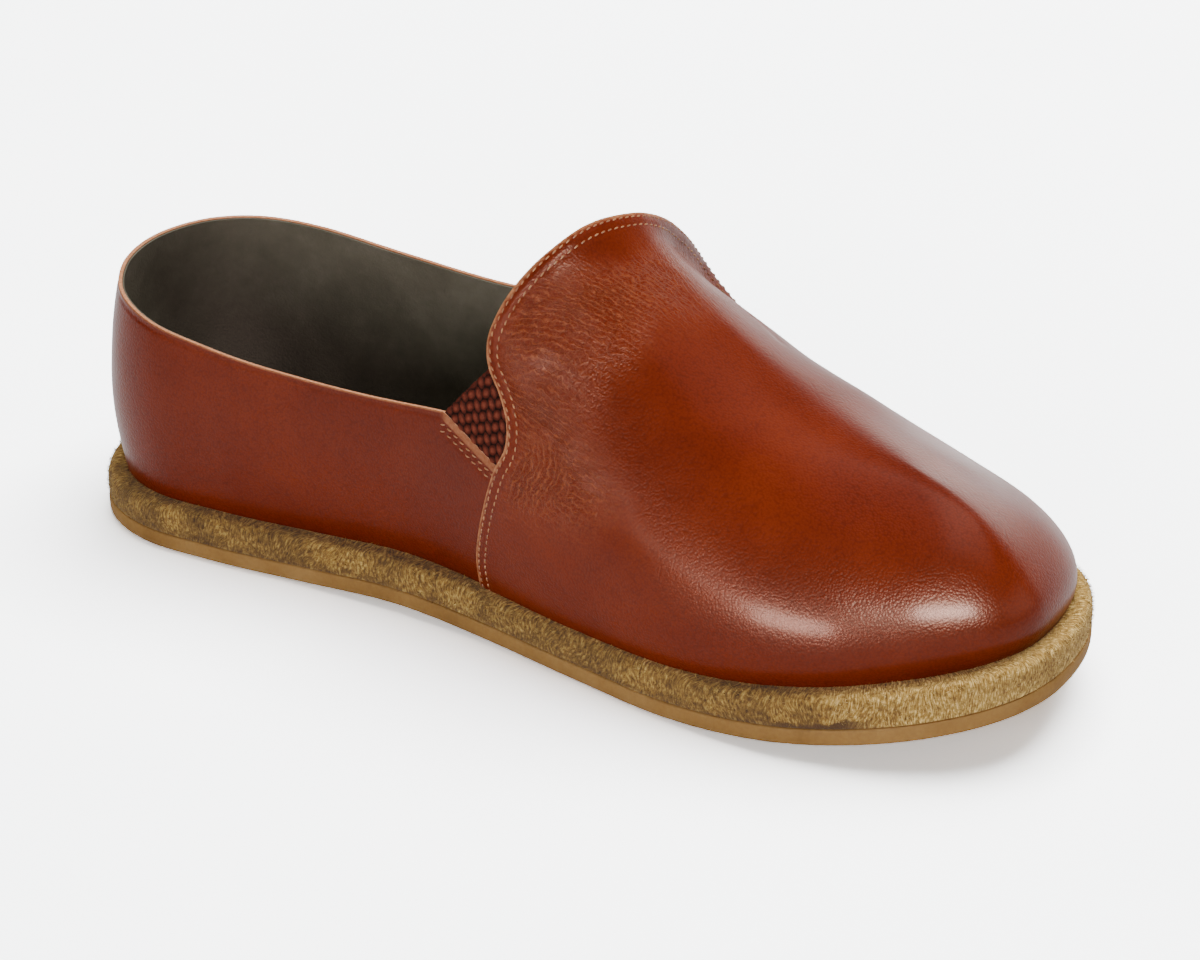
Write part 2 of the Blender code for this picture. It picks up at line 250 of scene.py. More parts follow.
def fill(tree, socket, given):
    """Gives an input a value, or links another node's output to it."""
    if isinstance(given, bpy.types.NodeSocket):
        tree.links.new(given, socket)
    else:
        socket.default_value = given


def feed(tree, node, **given):
    """Fills inputs by name, with underscores for spaces."""
    for name, value in given.items():
        fill(tree, node.inputs[name.replace("_", " ")], value)


def add(tree, kind, **given):
    """A node with its settings and its inputs, settings first."""
    node = tree.nodes.new("ShaderNode" + kind)
    for name, value in given.items():
        if hasattr(node, name):
            setattr(node, name, value)
        else:
            feed(tree, node, **{name: value})
    return node


def maths(tree, operation, *given, kind="Math", output=0, **settings):
    """A sum on numbers or vectors, given in order."""
    node = add(tree, kind, operation=operation, **settings)
    for socket, value in zip(node.inputs, given):
        fill(tree, socket, value)
    return node.outputs[output]


def soft_range(tree, value, low, high, start=0.0, end=1.0):
    """A number carried softly from one range to another."""
    ends = {"From_Min": low, "From_Max": high, "To_Min": start, "To_Max": end}
    return add(tree, "MapRange", interpolation_type="SMOOTHSTEP", Value=value, **ends).outputs["Result"]


def blend(tree, factor, first, second, way="MIX", data="RGBA"):
    """Two colours or numbers, mixed or multiplied."""
    made = add(tree, "Mix", data_type=data, blend_type=way, Factor=factor, A=first, B=second)
    return made.outputs["Result"]


def bump(tree, height, strength, distance, **under):
    """Fine relief as a normal."""
    return add(tree, "Bump", Height=height, Strength=strength, Distance=distance, **under).outputs["Normal"]


def ramp(tree, source, stops):
    """A colour ramp: each stop is a place and a colour."""
    node = add(tree, "ValToRGB", Fac=source)
    while len(node.color_ramp.elements) < len(stops):
        node.color_ramp.elements.new(0.5)
    for element, (place, colour) in zip(node.color_ramp.elements, stops):
        element.position = place
        element.color = (*colour, 1.0)
    return node.outputs["Color"]


def grey(tree, source, low, high):
    """A ramp between two greys, for roughness."""
    return ramp(tree, source, ((0.0, (low, low, low)), (1.0, (high, high, high))))


def painted(tree, name):
    """A number painted on the piece's points."""
    return add(tree, "Attribute", attribute_name=name).outputs["Fac"]


def group(name, values):
    """A group with a vector and named numbers going in, and one value coming out."""
    tree = bpy.data.node_groups.new(name, "ShaderNodeTree")
    tree.interface.new_socket("Vector", in_out="INPUT", socket_type="NodeSocketVector")
    for title, value in values.items():
        socket = tree.interface.new_socket(title, in_out="INPUT", socket_type="NodeSocketFloat")
        socket.default_value = value
    tree.interface.new_socket("Value", in_out="OUTPUT", socket_type="NodeSocketFloat")
    inside, outside = tree.nodes.new("NodeGroupInput"), tree.nodes.new("NodeGroupOutput")
    return tree, inside.outputs, outside.inputs["Value"]


def use_group(tree, made, **given):
    """A group placed in a material, on Object coordinates."""
    place = add(tree, "TexCoord").outputs["Object"]
    return add(tree, "Group", node_tree=made, Vector=place, **given).outputs["Value"]


# Soft uneven patches, from 0 to 1: dye, dirt and handling.
mottle, inside, result = group("mottle", {"Scale": 60.0, "Detail": 4.0, "Contrast": 1.6})
cloud = add(mottle, "TexNoise", Roughness=0.6, Vector=inside["Vector"], Scale=inside["Scale"],
            Detail=inside["Detail"])
centred = maths(mottle, "SUBTRACT", cloud.outputs["Fac"], 0.5)
fill(mottle, result, maths(mottle, "MULTIPLY_ADD", centred, inside["Contrast"], 0.5, use_clamp=True))


def patchy(name, roughness, patches, stops, grain, strength):
    """A plain finish in patches of a few tones, with a fine relief."""
    material, tree, shader = new_material(name)
    tint = ramp(tree, use_group(tree, mottle, **patches), stops)
    normal = bump(tree, use_group(tree, mottle, **grain), strength, 0.0001)
    feed(tree, shader, Base_Color=tint, Roughness=roughness, Normal=normal)
    return material


rubber, tree, shader = new_material("tan_rubber")
patches = use_group(tree, mottle, Scale=45.0, Contrast=1.8)
specks = use_group(tree, mottle, Scale=900.0, Contrast=1.2)
tint = ramp(tree, patches, (
    (0.0, (0.225, 0.113, 0.031)), (0.5, (0.300, 0.160, 0.048)), (1.0, (0.370, 0.210, 0.074))))
dust = ramp(tree, specks, ((0.3, (0.62, 0.60, 0.58)), (0.7, (1.0, 1.0, 1.0))))
feed(tree, shader, Base_Color=blend(tree, 0.35, tint, dust, "MULTIPLY"), Specular_IOR_Level=0.05,
     Roughness=grey(tree, patches, 0.52, 0.72), Normal=bump(tree, specks, 0.35, 0.00015))
outsole.data.materials.append(rubber)
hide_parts("outsole")
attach(outsole, "root")


# Studs stand in a slanting triangular field inside the smooth rim.
STUD_PITCH = 2.255
STUD_ANGLE = 42.5
STUD_RADIUS = 0.78
STUD_TAPER = 0.45
STUD_HEIGHT = 0.38
STUD_SUNK = 0.30
STUD_RIM = 4.2

deselect()
bpy.ops.mesh.primitive_cone_add(
    vertices=6, radius1=STUD_RADIUS * MM, radius2=STUD_TAPER * STUD_RADIUS * MM,
    depth=(STUD_HEIGHT + STUD_SUNK) * MM, end_fill_type="NGON")
stud = bpy.context.object


def many_faced(name, points, faces):
    """One piece of many small shapes, with points in millimetres from the heel."""
    points[..., 0] -= SOLE_LENGTH / 2.0
    mesh = bpy.data.meshes.new(name)
    mesh.from_pydata((points.reshape(-1, 3) * MM).tolist(), [], faces)
    piece = bpy.data.objects.new(name, mesh)
    bpy.context.collection.objects.link(piece)
    return piece


def repeated(name, pattern, places, frames):
    """Many copies of one small shape, each at its place and in its own directions."""
    points = np.array([v.co for v in pattern.data.vertices]) / MM
    faces = [tuple(p.vertices) for p in pattern.data.polygons]
    bpy.data.objects.remove(pattern, do_unlink=True)
    copies = np.einsum("vi,nij->nvj", points, frames) + places[:, None, :]
    starts = range(0, len(places) * len(points), len(points))
    return many_faced(name, copies, [tuple(i + start for i in face) for start in starts for face in faces])


counted = np.arange(-160, 161)
first, second = np.meshgrid(counted, counted)
angle = math.radians(STUD_ANGLE)
slanted = angle + math.pi / 3.0
stud_x = STUD_PITCH * (first * math.cos(angle) + second * math.cos(slanted)) + SOLE_LENGTH / 2.0
stud_y = STUD_PITCH * (first * math.sin(angle) + second * math.sin(slanted))
field = np.stack([stud_x.ravel(), stud_y.ravel()], -1)
field = field[(field[:, 0] > STUD_RIM) & (field[:, 0] < SOLE_LENGTH - STUD_RIM)]
turns = np.linspace(0.0, math.pi, 400)
bounds_y = []
for side in (MEDIAL, LATERAL):
    line = drawn_in(np.full(400, side), turns, np.full(400, STUD_RIM))
    bounds_y.append(np.interp(field[:, 0], line[:, 0], line[:, 1]))
    ends = (field[:, 0] < line[:, 0].min()) | (field[:, 0] > line[:, 0].max())
    field, bounds_y = field[~ends], [b[~ends] for b in bounds_y]
field = field[(field[:, 1] > bounds_y[0]) & (field[:, 1] < bounds_y[1])]
stud_z = sole_rise(field) + (STUD_SUNK - STUD_HEIGHT) / 2.0
turned_down = np.broadcast_to(np.diag([1.0, -1.0, -1.0]), (len(field), 3, 3))
tread = repeated("tread_studs", stud, np.column_stack([field, stud_z]), turned_down)

tread.data.materials.append(patchy(
    "tread_rubber", 0.6, {"Scale": 28.0, "Detail": 3.0, "Contrast": 2.4},
    ((0.0, (0.240, 0.155, 0.085)), (0.55, (0.320, 0.185, 0.085)), (1.0, (0.400, 0.205, 0.085))),
    {"Scale": 1400.0, "Contrast": 1.2}, 0.4))
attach(tread, "root")


# ---- Midsole -----------------------------------------------------------------------------
# Thick split leather, flesh side out, cemented between upper and rubber. Its edge is left raw
# and napped: the fibres stand across it, and the adhesive has darkened a line along its foot.
MIDSOLE_BOTTOM = RUBBER_THICKNESS + 0.3
MIDSOLE_THICKNESS = 7.4
MIDSOLE_TOE_EXTRA = 1.0
MIDSOLE_EXTRA_START = 0.6
MIDSOLE_COLUMNS = 1100
NAP_ROUGHNESS = 0.22
NAP_OVERHANG = 0.26

# Where the edge's looks change along its length: start and end of each soft step.
HEEL_DARK = (90.0, 130.0)
WAIST_DARK = (150.0, 185.0, 225.0, 245.0)
# Along the toe the nap is painted paler, as a painted highlight.
TOE_HIGHLIGHT = (236.0, 272.0)
GLUE_THICK = (224.0, 234.0)
GLUE_GONE = (246.0, 256.0)


def midsole_low(xy):
    """The midsole's underside."""
    return sole_rise(xy) + MIDSOLE_BOTTOM


def midsole_foot(xy):
    """The nap's lower end, which hangs over the glued joint."""
    return midsole_low(xy) - NAP_OVERHANG


def midsole_top(xy):
    """The midsole's upper face, which is a little thicker at the toe."""
    station = np.clip(xy[..., 0] / SOLE_LENGTH, 0.0, 1.0)
    towards_toe = (station - MIDSOLE_EXTRA_START) / (1.0 - MIDSOLE_EXTRA_START)
    return midsole_low(xy) + MIDSOLE_THICKNESS + MIDSOLE_TOE_EXTRA * np.clip(towards_toe, 0.0, 1.0)


MIDSOLE_PROFILE = [(1.0, 0.5, 0.0), (0.3, 0.5, 0.0), (0.0, 4.0, 0.0), (0.0, 0.6, 0.0), (0.0, 0.36, 0.02)]
wall = np.linspace(0.1, 0.62, 9)
MIDSOLE_PROFILE += [(0.0, 0.32 - 0.14 * math.sin(math.pi * share), share) for share in wall]
corner = [math.radians(a) for a in (5, 22, 40, 58, 75, 90)]
MIDSOLE_PROFILE += [(0.0, 0.3 + 2.7 * (1 - math.cos(a)), 0.66 + 0.34 * math.sin(a)) for a in corner]
MIDSOLE_PROFILE += [(0.0, inset, 1.0) for inset in (3.8, 4.6, 5.4, 6.2, 7.2, 8.4, 10.0)]
MIDSOLE_PROFILE += [(0.12, 10.0, 1.0), (0.5, 10.0, 1.0), (1.0, 10.0, 1.0)]
midsole = swept("napped_midsole", MIDSOLE_PROFILE, midsole_foot, midsole_top, MIDSOLE_COLUMNS)


def read(items, name, width):
    """A number or a vector from each of a mesh's items."""
    found = np.empty(width * len(items), dtype=np.float32)
    items.foreach_get(name, found)
    return found.reshape(-1, width).astype(float)


def step(value, low, high):
    """A soft step from 0 to 1."""
    t = np.clip((value - low) / (high - low), 0.0, 1.0)
    return t * t * (3.0 - 2.0 * t)


def band(value, start, full, fade, end):
    """Softly from 0 up to 1 and back to 0."""
    return step(value, start, full) * (1.0 - step(value, fade, end))


def lumps(places, size, seed):
    """Smooth random lumps of a given size in millimetres, about -1 to 1, the same on every run."""
    scaled = places / (size * MM) + seed * 17.3
    return np.array([noise.noise(Vector(p)) for p in scaled])


def paint(piece, name, values):
    """Stores one number for each point, for the material to read."""
    layer = piece.data.attributes.new(name, "FLOAT", "POINT")
    layer.data.foreach_set("value", np.asarray(values, dtype=np.float32))


sew(midsole)
places = read(midsole.data.vertices, "co", 3)
normals = read(midsole.data.vertex_normals, "vector", 3)
on_edge = normals[:, 2] > -0.6
rough = 0.55 * lumps(places, 1.3, 1) + 0.45 * lumps(places, 3.4, 2) + 0.8 * lumps(places, 14.0, 3)
places += normals * (NAP_ROUGHNESS * rough * on_edge)[:, None] * MM
midsole.data.vertices.foreach_set("co", places.reshape(-1))
midsole_xy = places[:, :2] / MM + np.array([SOLE_LENGTH / 2.0, 0.0])
height_share = np.clip((places[:, 2] / MM - midsole_low(midsole_xy)) / MIDSOLE_THICKNESS, 0.0, 1.0)
paint(midsole, "height", height_share)


def nap_tone_with_painted_highlight(xy, share):
    """How pale the nap is: a painted highlight at the toe and along its corners, and darker along the
    medial waist and towards the heel.
    """
    x = xy[:, 0]
    toe = step(x, *TOE_HIGHLIGHT)
    waist = band(x, *WAIST_DARK) * (xy[:, 1] < 0.0)
    top_corner, bottom_corner = step(share, 0.80, 0.98), 1.0 - step(share, 0.05, 0.30)
    # Painted highlight: paler at the toe and along the corners. Darker at the medial waist and towards the
    # heel.
    pale = 0.12 + 0.38 * toe + (0.14 + 0.22 * toe) * top_corner + 0.30 * toe * bottom_corner
    return np.clip(pale - 0.10 * waist - 0.10 * (1.0 - step(x, *HEEL_DARK)), 0.0, 1.0)


paint(midsole, "pale", nap_tone_with_painted_highlight(midsole_xy, height_share))
glue = 0.25 + 0.75 * step(midsole_xy[:, 0], *GLUE_THICK) - step(midsole_xy[:, 0], *GLUE_GONE)
paint(midsole, "glue", glue)
midsole.data.update()


def blotched(tree, fibre):
    """The fibres' colour in broad blotches, paler with the painted highlight at the toe and corners, and
    darker at the waist and heel.
    """
    blotches = use_group(tree, mottle, Scale=85.0, Detail=4.0, Contrast=3.0)
    light = maths(tree, "MULTIPLY_ADD", blotches, 0.55, painted(tree, "pale"), use_clamp=True)
    tone = ramp(tree, light, (
        (0.0, (0.32, 0.26, 0.14)), (0.5, (0.90, 0.86, 0.66)), (1.0, (1.45, 1.56, 1.66))))
    return blend(tree, 1.0, fibre, tone, "MULTIPLY")


split_leather, tree, shader = new_material("napped_split_leather")
flow = add(tree, "TexCoord").outputs
combed = add(tree, "Mapping", Scale=(1500.0, 10.0, 1.0), Vector=flow["UV"]).outputs["Vector"]
brushed = add(tree, "TexNoise", Scale=48.0, Detail=2.0, Vector=flow["Object"]).outputs["Fac"]
leaning = maths(tree, "MULTIPLY_ADD", brushed, (30.0, 0.0, 0.0), combed, kind="VectorMath")
strands = add(tree, "TexNoise", Scale=1.0, Detail=4.0, Roughness=0.62, Distortion=0.12, Vector=leaning)
tufts = use_group(tree, mottle, Scale=900.0, Detail=4.0, Contrast=2.2)
strand = blend(tree, 0.16, strands.outputs["Fac"], tufts, data="FLOAT")
fibre = ramp(tree, strand, (
    (0.32, (0.050, 0.022, 0.003)), (0.44, (0.170, 0.084, 0.014)), (0.53, (0.320, 0.182, 0.040)),
    (0.66, (0.640, 0.440, 0.150))))
stain = use_group(tree, mottle, Scale=130.0, Detail=5.0, Contrast=3.2)
above = maths(tree, "SUBTRACT", painted(tree, "height"), maths(tree, "MULTIPLY_ADD", stain, 0.34, 0.05))
below = soft_range(tree, above, -0.05, 0.06, 1.0, 0.0)
glued = maths(tree, "MULTIPLY", below, painted(tree, "glue"), use_clamp=True)
feed(tree, shader, Base_Color=blend(tree, glued, blotched(tree, fibre), (0.060, 0.024, 0.005, 1.0)),
     Roughness=0.95, Specular_IOR_Level=0.2, Sheen_Weight=0.14, Sheen_Roughness=0.6,
     Sheen_Tint=(0.80, 0.66, 0.42, 1.0), Normal=bump(tree, strand, 0.9, 0.0004))
midsole.data.materials.append(split_leather)
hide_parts("midsole")
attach(midsole, "root")


# The nap itself: short loose fibres brushed out of the raw edge, thickest along its upper corner.
NAP_FIBRES = 22000
NAP_LENGTH = (0.7, 1.9)
NAP_WIDTH = 0.12
NAP_SUNK = 0.12

chance = np.random.default_rng(4)
faces = midsole.data.polygons
centres, facing = read(faces, "center", 3) / MM, read(faces, "normal", 3)
areas = read(faces, "area", 1)[:, 0]
centres[:, 0] += SOLE_LENGTH / 2.0
weight = areas * (facing[:, 2] > -0.3)
on_top = facing[:, 2] > 0.97
corner_wise = np.exp(-(((facing[:, 2] - 0.6) / 0.35) ** 2))
weight = weight * np.where(on_top, 0.45, 0.8 + 1.2 * corner_wise) * (areas < np.percentile(areas, 97))
chosen = chance.choice(len(faces), NAP_FIBRES, p=weight / weight.sum())
root, out = centres[chosen] + chance.normal(0.0, 0.25, (NAP_FIBRES, 3)), facing[chosen]
root -= out * ((root - centres[chosen]) * out).sum(-1, keepdims=True)
sweep = np.cross(out, np.array([0.0, 0.0, 1.0]) + 0.01)
sweep /= np.linalg.norm(sweep, axis=1, keepdims=True)
combed_over = 1.6 * lumps(root * MM, 9.0, 21)[:, None]
lean = (chance.normal(0.0, 0.55, (NAP_FIBRES, 1)) + combed_over) * sweep
lean = lean + chance.normal(0.1, 0.5, (NAP_FIBRES, 1)) * np.cross(sweep, out)
tall = chance.uniform(*NAP_LENGTH, (NAP_FIBRES, 1)) * (1.0 + 0.35 * corner_wise[chosen][:, None])
middle = root + (out * 0.42 + lean * 0.25) * tall * 0.5
tip = root + (out * 0.50 + lean * 0.62) * tall
across = np.cross(tip - root, out)
across /= np.maximum(np.linalg.norm(across, axis=1, keepdims=True), 1e-6)
wide = across * NAP_WIDTH / 2.0
root = root - out * NAP_SUNK
blades = np.stack([root - wide, root + wide, middle + wide * 0.8, middle - wide * 0.8, tip], 1)
corners = np.arange(NAP_FIBRES)[:, None] * 5
quads = (corners + np.array([0, 1, 2, 3])).tolist()
tips = (corners + np.array([3, 2, 4])).tolist()
nap = many_faced("nap_fibres", blades, quads + tips)
tones = chance.uniform(0.0, 1.0, NAP_FIBRES)
paint(nap, "tone", np.repeat(tones, 5))
# The loose fibres carry the same painted highlight at the toe and along the corners.
root_share = np.clip((root[:, 2] - midsole_low(root[:, :2])) / MIDSOLE_THICKNESS, 0.0, 1.0)
paint(nap, "pale", np.repeat(nap_tone_with_painted_highlight(root[:, :2], root_share), 5))

loose_fibre, tree, shader = new_material("loose_fibre")
own = ramp(tree, painted(tree, "tone"), (
    (0.0, (0.060, 0.028, 0.004)), (0.5, (0.240, 0.135, 0.030)), (1.0, (0.600, 0.420, 0.160))))
feed(tree, shader, Base_Color=blotched(tree, own), Roughness=0.9, Specular_IOR_Level=0.2)
nap.data.materials.append(loose_fibre)
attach(nap, "root")


# ---- Insole ------------------------------------------------------------------------------
# A thin footbed, a soft board under the same pigskin as the lining. It is dropped into the
# upper and glued to the midsole.
INSOLE_THICKNESS = 2.4
INSOLE_COLUMNS = 361
PIECE_GAP = 0.3
WALL = 2.8

# How far the midsole stands out past the upper: station, medial, lateral.
FLANGE = (
    (0.00, 4.0, 4.0),
    (0.25, 5.0, 4.5),
    (0.40, 5.5, 5.0),
    (0.55, 3.4, 5.0),
    (0.70, 4.0, 4.5),
    (0.85, 7.0, 4.5),
    (0.95, 9.5, 5.5),
    (1.00, 8.0, 8.0),
)


def insole_low(xy):
    """Underside of the footbed."""
    return midsole_top(xy) + PIECE_GAP


def insole_top(xy):
    """Upper side of the footbed."""
    return insole_low(xy) + INSOLE_THICKNESS


def insole_edge(side, turn, inset):
    """The footbed's outline, just inside the upper."""
    return drawn_in(side, turn, side_value(FLANGE, side, turn) + WALL + PIECE_GAP + inset)


INSOLE_PROFILE = [(nearness, 0.0, 0.0) for nearness in (1.0, 0.4, 0.02)]
INSOLE_PROFILE += [(0.0, 0.0, 0.25), (0.0, 0.0, 0.8), (0.012, 0.0, 0.97)]
INSOLE_PROFILE += [(nearness, 0.0, 1.0) for nearness in (0.04, 0.2, 0.45, 0.7, 1.0)]
insole = swept("lined_insole", INSOLE_PROFILE, insole_low, insole_top, INSOLE_COLUMNS, insole_edge)
sew(insole)

# The pebbled grain of dressed leather, low soft domes of two sizes, as a height from 0 to 1.
pores, inside, result = group("leather_pores", {"Scale": 1000.0, "Coarse": 0.16})
domes = []
for widened, smoothness in ((1.0, 0.35), (0.42, 0.5)):
    size = maths(pores, "MULTIPLY", inside["Scale"], widened)
    cells = add(pores, "TexVoronoi", feature="SMOOTH_F1", Smoothness=smoothness, Randomness=1.0,
                Vector=inside["Vector"], Scale=size)
    domes.append(cells.outputs["Distance"])
both = blend(pores, inside["Coarse"], *domes, data="FLOAT")
fill(pores, result, maths(pores, "SUBTRACT", 1.0, both, use_clamp=True))

lining_leather, tree, shader = new_material("lining_leather")
patches = use_group(tree, mottle, Scale=55.0, Contrast=1.8)
tint = ramp(tree, patches, (
    (0.0, (0.055, 0.050, 0.034)), (0.5, (0.085, 0.077, 0.054)), (1.0, (0.125, 0.114, 0.084))))
feed(tree, shader, Base_Color=tint, Roughness=grey(tree, patches, 0.62, 0.78), Specular_IOR_Level=0.2,
     Normal=bump(tree, use_group(tree, pores, Scale=1500.0), 0.9, 0.00010))
insole.data.materials.append(lining_leather)
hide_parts("insole")
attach(insole, "root")


# ---- Vamp --------------------------------------------------------------------------------
# One piece of smooth, waxed brown calf over the toes and instep, cut straight through so that
# its pale raw edge shows, and lapped over the quarter and the elastic with two rows of stitches.
VAMP_LEATHER = 1.25
QUARTER_WALL = 1.6
VAMP_HALF_ROWS = 138
VAMP_ROW_CROWD = 0.35
VAMP_COLUMNS = 164
VAMP_SPACING = (0.42, 0.58, 1.9)
VAMP_EASED = 0.22
TURN_STEPS = 180
SHARE_STEPS = 120
RIB_STEPS = 500
SKIN_NUDGE = 0.006
STITCH_ROWS = (1.1, 3.3)
STITCH_PULL = (0.55, 0.12)
TUCKED = (2.6, 1.9, 0.12)
SKIVING = 0.25
SKIVED_WIDTH = 0.5

# The last: x from the heel, ridge y, ridge z, fullness of each side, swell of each side.
LAST = (
    (46.0, -14.5, 114.0, 2.6, 2.6, 3.0, 3.0),
    (90.0, -12.0, 122.0, 2.7, 2.4, 3.5, 2.5),
    (125.0, -9.0, 122.0, 2.8, 2.0, 5.0, 1.5),
    (150.0, -8.0, 108.0, 2.8, 1.8, 5.0, 1.0),
    (165.0, -8.0, 94.0, 2.6, 1.6, 4.5, 1.0),
    (180.0, -8.0, 83.0, 2.45, 1.5, 4.0, 1.0),
    (200.0, -8.5, 71.0, 2.3, 1.65, 3.5, 1.5),
    (220.0, -9.5, 63.0, 2.3, 1.75, 3.5, 2.0),
    (238.0, -11.0, 58.5, 2.4, 1.95, 4.0, 3.5),
    (260.0, -12.0, 55.0, 2.5, 2.2, 4.0, 4.0),
    (284.0, -12.5, 50.0, 2.6, 2.3, 4.0, 4.0),
)
SIDE_BLEND = 6.0
SWELL_SCALE = 27.0 / 4.0

# Edges seen from the side, as (u, z). The opening slants, so u is x less a quarter of the
# distance across from the medial side.
OPENING_SLANT = 0.25
SLANT_FROM_Y = -45.0
VAMP_EDGE = (
    (137.0, 8.0),
    (139.0, 22.0),
    (142.5, 34.0),
    (145.2, 43.0),
    (147.6, 50.5),
    (150.2, 56.5),
    (149.8, 62.5),
    (146.0, 69.5),
    (141.5, 75.0),
    (139.6, 81.0),
    (140.3, 87.5),
    (142.4, 94.0),
    (144.6, 99.0),
    (147.2, 104.5),
    (148.8, 112.0),
    (150.0, 124.0),
)


def rib(turn, side, row):
    """The inside of the upper, on a rib that climbs from the sole's edge to the ridge."""
    wall = side_value(FLANGE, side, turn) + WALL
    outward = rim_outward(side, turn)
    foot = rim(side, turn) - outward * wall[..., None]
    floor = midsole_top(foot) + PIECE_GAP
    knots = column(LAST, 0)
    spine_x = SPINE_START + (SPINE_END - SPINE_START) * station_of(turn)
    ridge = np.stack([spine_x, smooth(knots, column(LAST, 1), spine_x)], -1)
    lateral = 1.0 / (1.0 + np.exp(-(rim(side, turn)[..., 1] - ridge[..., 1]) / SIDE_BLEND))
    full, swell = (
        smooth(knots, column(LAST, near), spine_x) * (1.0 - lateral)
        + smooth(knots, column(LAST, near + 1), spine_x) * lateral for near in (3, 5))
    rise = np.sin(0.5 * math.pi * np.clip(row, 0.0, 1.0)) ** (2.0 / full)
    reach = 1.0 - np.maximum(1.0 - rise**full, 0.0) ** (1.0 / full)
    swell = swell * SWELL_SCALE * rise * (1.0 - rise) ** 2
    xy = foot + (ridge - foot) * reach[..., None] + outward * swell[..., None]
    z = floor + (smooth(knots, column(LAST, 2), xy[..., 0]) - floor) * rise
    return np.concatenate([xy, z[..., None]], -1)


# Rows that lie evenly along each rib.
knot_turns = np.linspace(0.0, math.pi, TURN_STEPS + 1)
knot_shares = np.linspace(0.0, 1.0, SHARE_STEPS + 1)
fine_rows = 1.0 - (1.0 - np.linspace(0.0, 1.0, RIB_STEPS + 1)) ** 1.4
even_rows = {}
for side in (MEDIAL, LATERAL):
    turn, row = np.meshgrid(knot_turns, fine_rows, indexing="ij")
    steps = np.linalg.norm(np.diff(rib(turn, np.full(turn.shape, side), row), axis=1), axis=-1)
    length = np.concatenate([np.zeros((TURN_STEPS + 1, 1)), np.cumsum(steps, axis=1)], axis=1)
    even_rows[side] = np.stack([np.interp(knot_shares * a[-1], a, fine_rows) for a in length])


def skin(turn, around):
    """The inside of the upper. Around runs from the medial foot at 0, over the ridge at 1, to 2."""
    turn, around = np.broadcast_arrays(np.asarray(turn, dtype=float), np.asarray(around, dtype=float))
    past = (turn < 0.0) | (turn > math.pi)
    around = np.where(past, 2.0 - around, around)
    turn = np.where(turn < 0.0, -turn, np.where(turn > math.pi, 2.0 * math.pi - turn, turn))
    medial = around <= 1.0
    share = np.clip(np.where(medial, around, 2.0 - around), 0.0, 1.0)
    along, up = turn / math.pi * TURN_STEPS, share * SHARE_STEPS
    i, j = np.minimum(along.astype(int), TURN_STEPS - 1), np.minimum(up.astype(int), SHARE_STEPS - 1)
    a, b = along - i, up - j
    row = np.zeros(turn.shape)
    for side, here in ((MEDIAL, medial), (LATERAL, ~medial)):
        table = even_rows[side]
        near = table[i, j] * (1 - b) + table[i, j + 1] * b
        far = table[i + 1, j] * (1 - b) + table[i + 1, j + 1] * b
        row = np.where(here, near * (1 - a) + far * a, row)
    return rib(turn, np.where(medial, MEDIAL, LATERAL), row)


def skin_normal(turn, around):
    """Which way is out of the skin."""
    along = skin(turn + SKIN_NUDGE, around) - skin(turn - SKIN_NUDGE, around)
    higher, lower = np.minimum(around + SKIN_NUDGE, 2.0), np.maximum(around - SKIN_NUDGE, 0.0)
    up = skin(turn, higher) - skin(turn, lower)
    out = np.cross(along, up)
    return out / np.maximum(np.linalg.norm(out, axis=-1, keepdims=True), 1e-9)


def shell(turn, around, out):
    """The skin moved out by a distance."""
    return skin(turn, around) + skin_normal(turn, around) * out


def side_view(places):
    """How far along and how high a place lies, as the slanted edges see it."""
    return places[..., 0] - OPENING_SLANT * (places[..., 1] - SLANT_FROM_Y), places[..., 2]


def on_side(share, side):
    """A share of a rib, as a place around the upper."""
    return share if side == MEDIAL else 2.0 - share


def settle(low, high, is_short):
    """Closes a range by halves on the place where is_short ends."""
    for _ in range(24):
        middle = (low + high) / 2.0
        short = is_short(middle)
        low, high = np.where(short, middle, low), np.where(short, high, middle)
    return (low + high) / 2.0


def edge_turn(around, out, shift=0.0):
    """Where a row meets the vamp's rear edge."""

    def behind(turn):
        u, z = side_view(shell(turn, around, out))
        return u < smooth(column(VAMP_EDGE, 1), column(VAMP_EDGE, 0), z) + shift

    return settle(np.full(around.shape, 0.9), np.full(around.shape, 2.6), behind)


def near_line(places, line, reach):
    """Distance from each place to a line of close points, capped at a reach."""
    found = np.full(len(places), float(reach))
    low, high = line.min(axis=0) - reach, line.max(axis=0) + reach
    inside = np.all((places > low) & (places < high), axis=1)
    ends = line[1:] - line[:-1]
    squared = np.maximum((ends**2).sum(-1), 1e-12)
    close = places[inside]
    best = np.full(len(close), float(reach))
    for start, end, size in zip(line[:-1], ends, squared):
        offset = close - start
        t = np.clip(offset @ end / size, 0.0, 1.0)
        best = np.minimum(best, np.linalg.norm(offset - t[:, None] * end, axis=-1))
    found[inside] = best
    return found


half = np.linspace(0.0, 1.0, VAMP_HALF_ROWS)
half = half + VAMP_ROW_CROWD * np.sin(2.0 * math.pi * half) / (2.0 * math.pi)
around = np.concatenate([half, 2.0 - half[-2::-1]])
rear_turn = edge_turn(around, WALL)
rear_line = shell(rear_turn, around, WALL)
spacing = np.linspace(0.0, 1.0, VAMP_COLUMNS)
even, crowded, power = VAMP_SPACING
spacing = even * spacing + crowded * spacing**power
vamp_turn = rear_turn[:, None] + (math.pi - rear_turn[:, None]) * spacing
vamp_around = np.broadcast_to(around[:, None], vamp_turn.shape)
vamp_places = shell(vamp_turn, vamp_around, WALL)
vamp_out = skin_normal(vamp_turn, vamp_around)
flat_places = vamp_places.reshape(-1, 3)
from_edge = near_line(flat_places, rear_line, 60.0).reshape(vamp_turn.shape)
vamp_z = vamp_places[..., 2]
above_sole = vamp_z - midsole_top(vamp_places[..., :2])

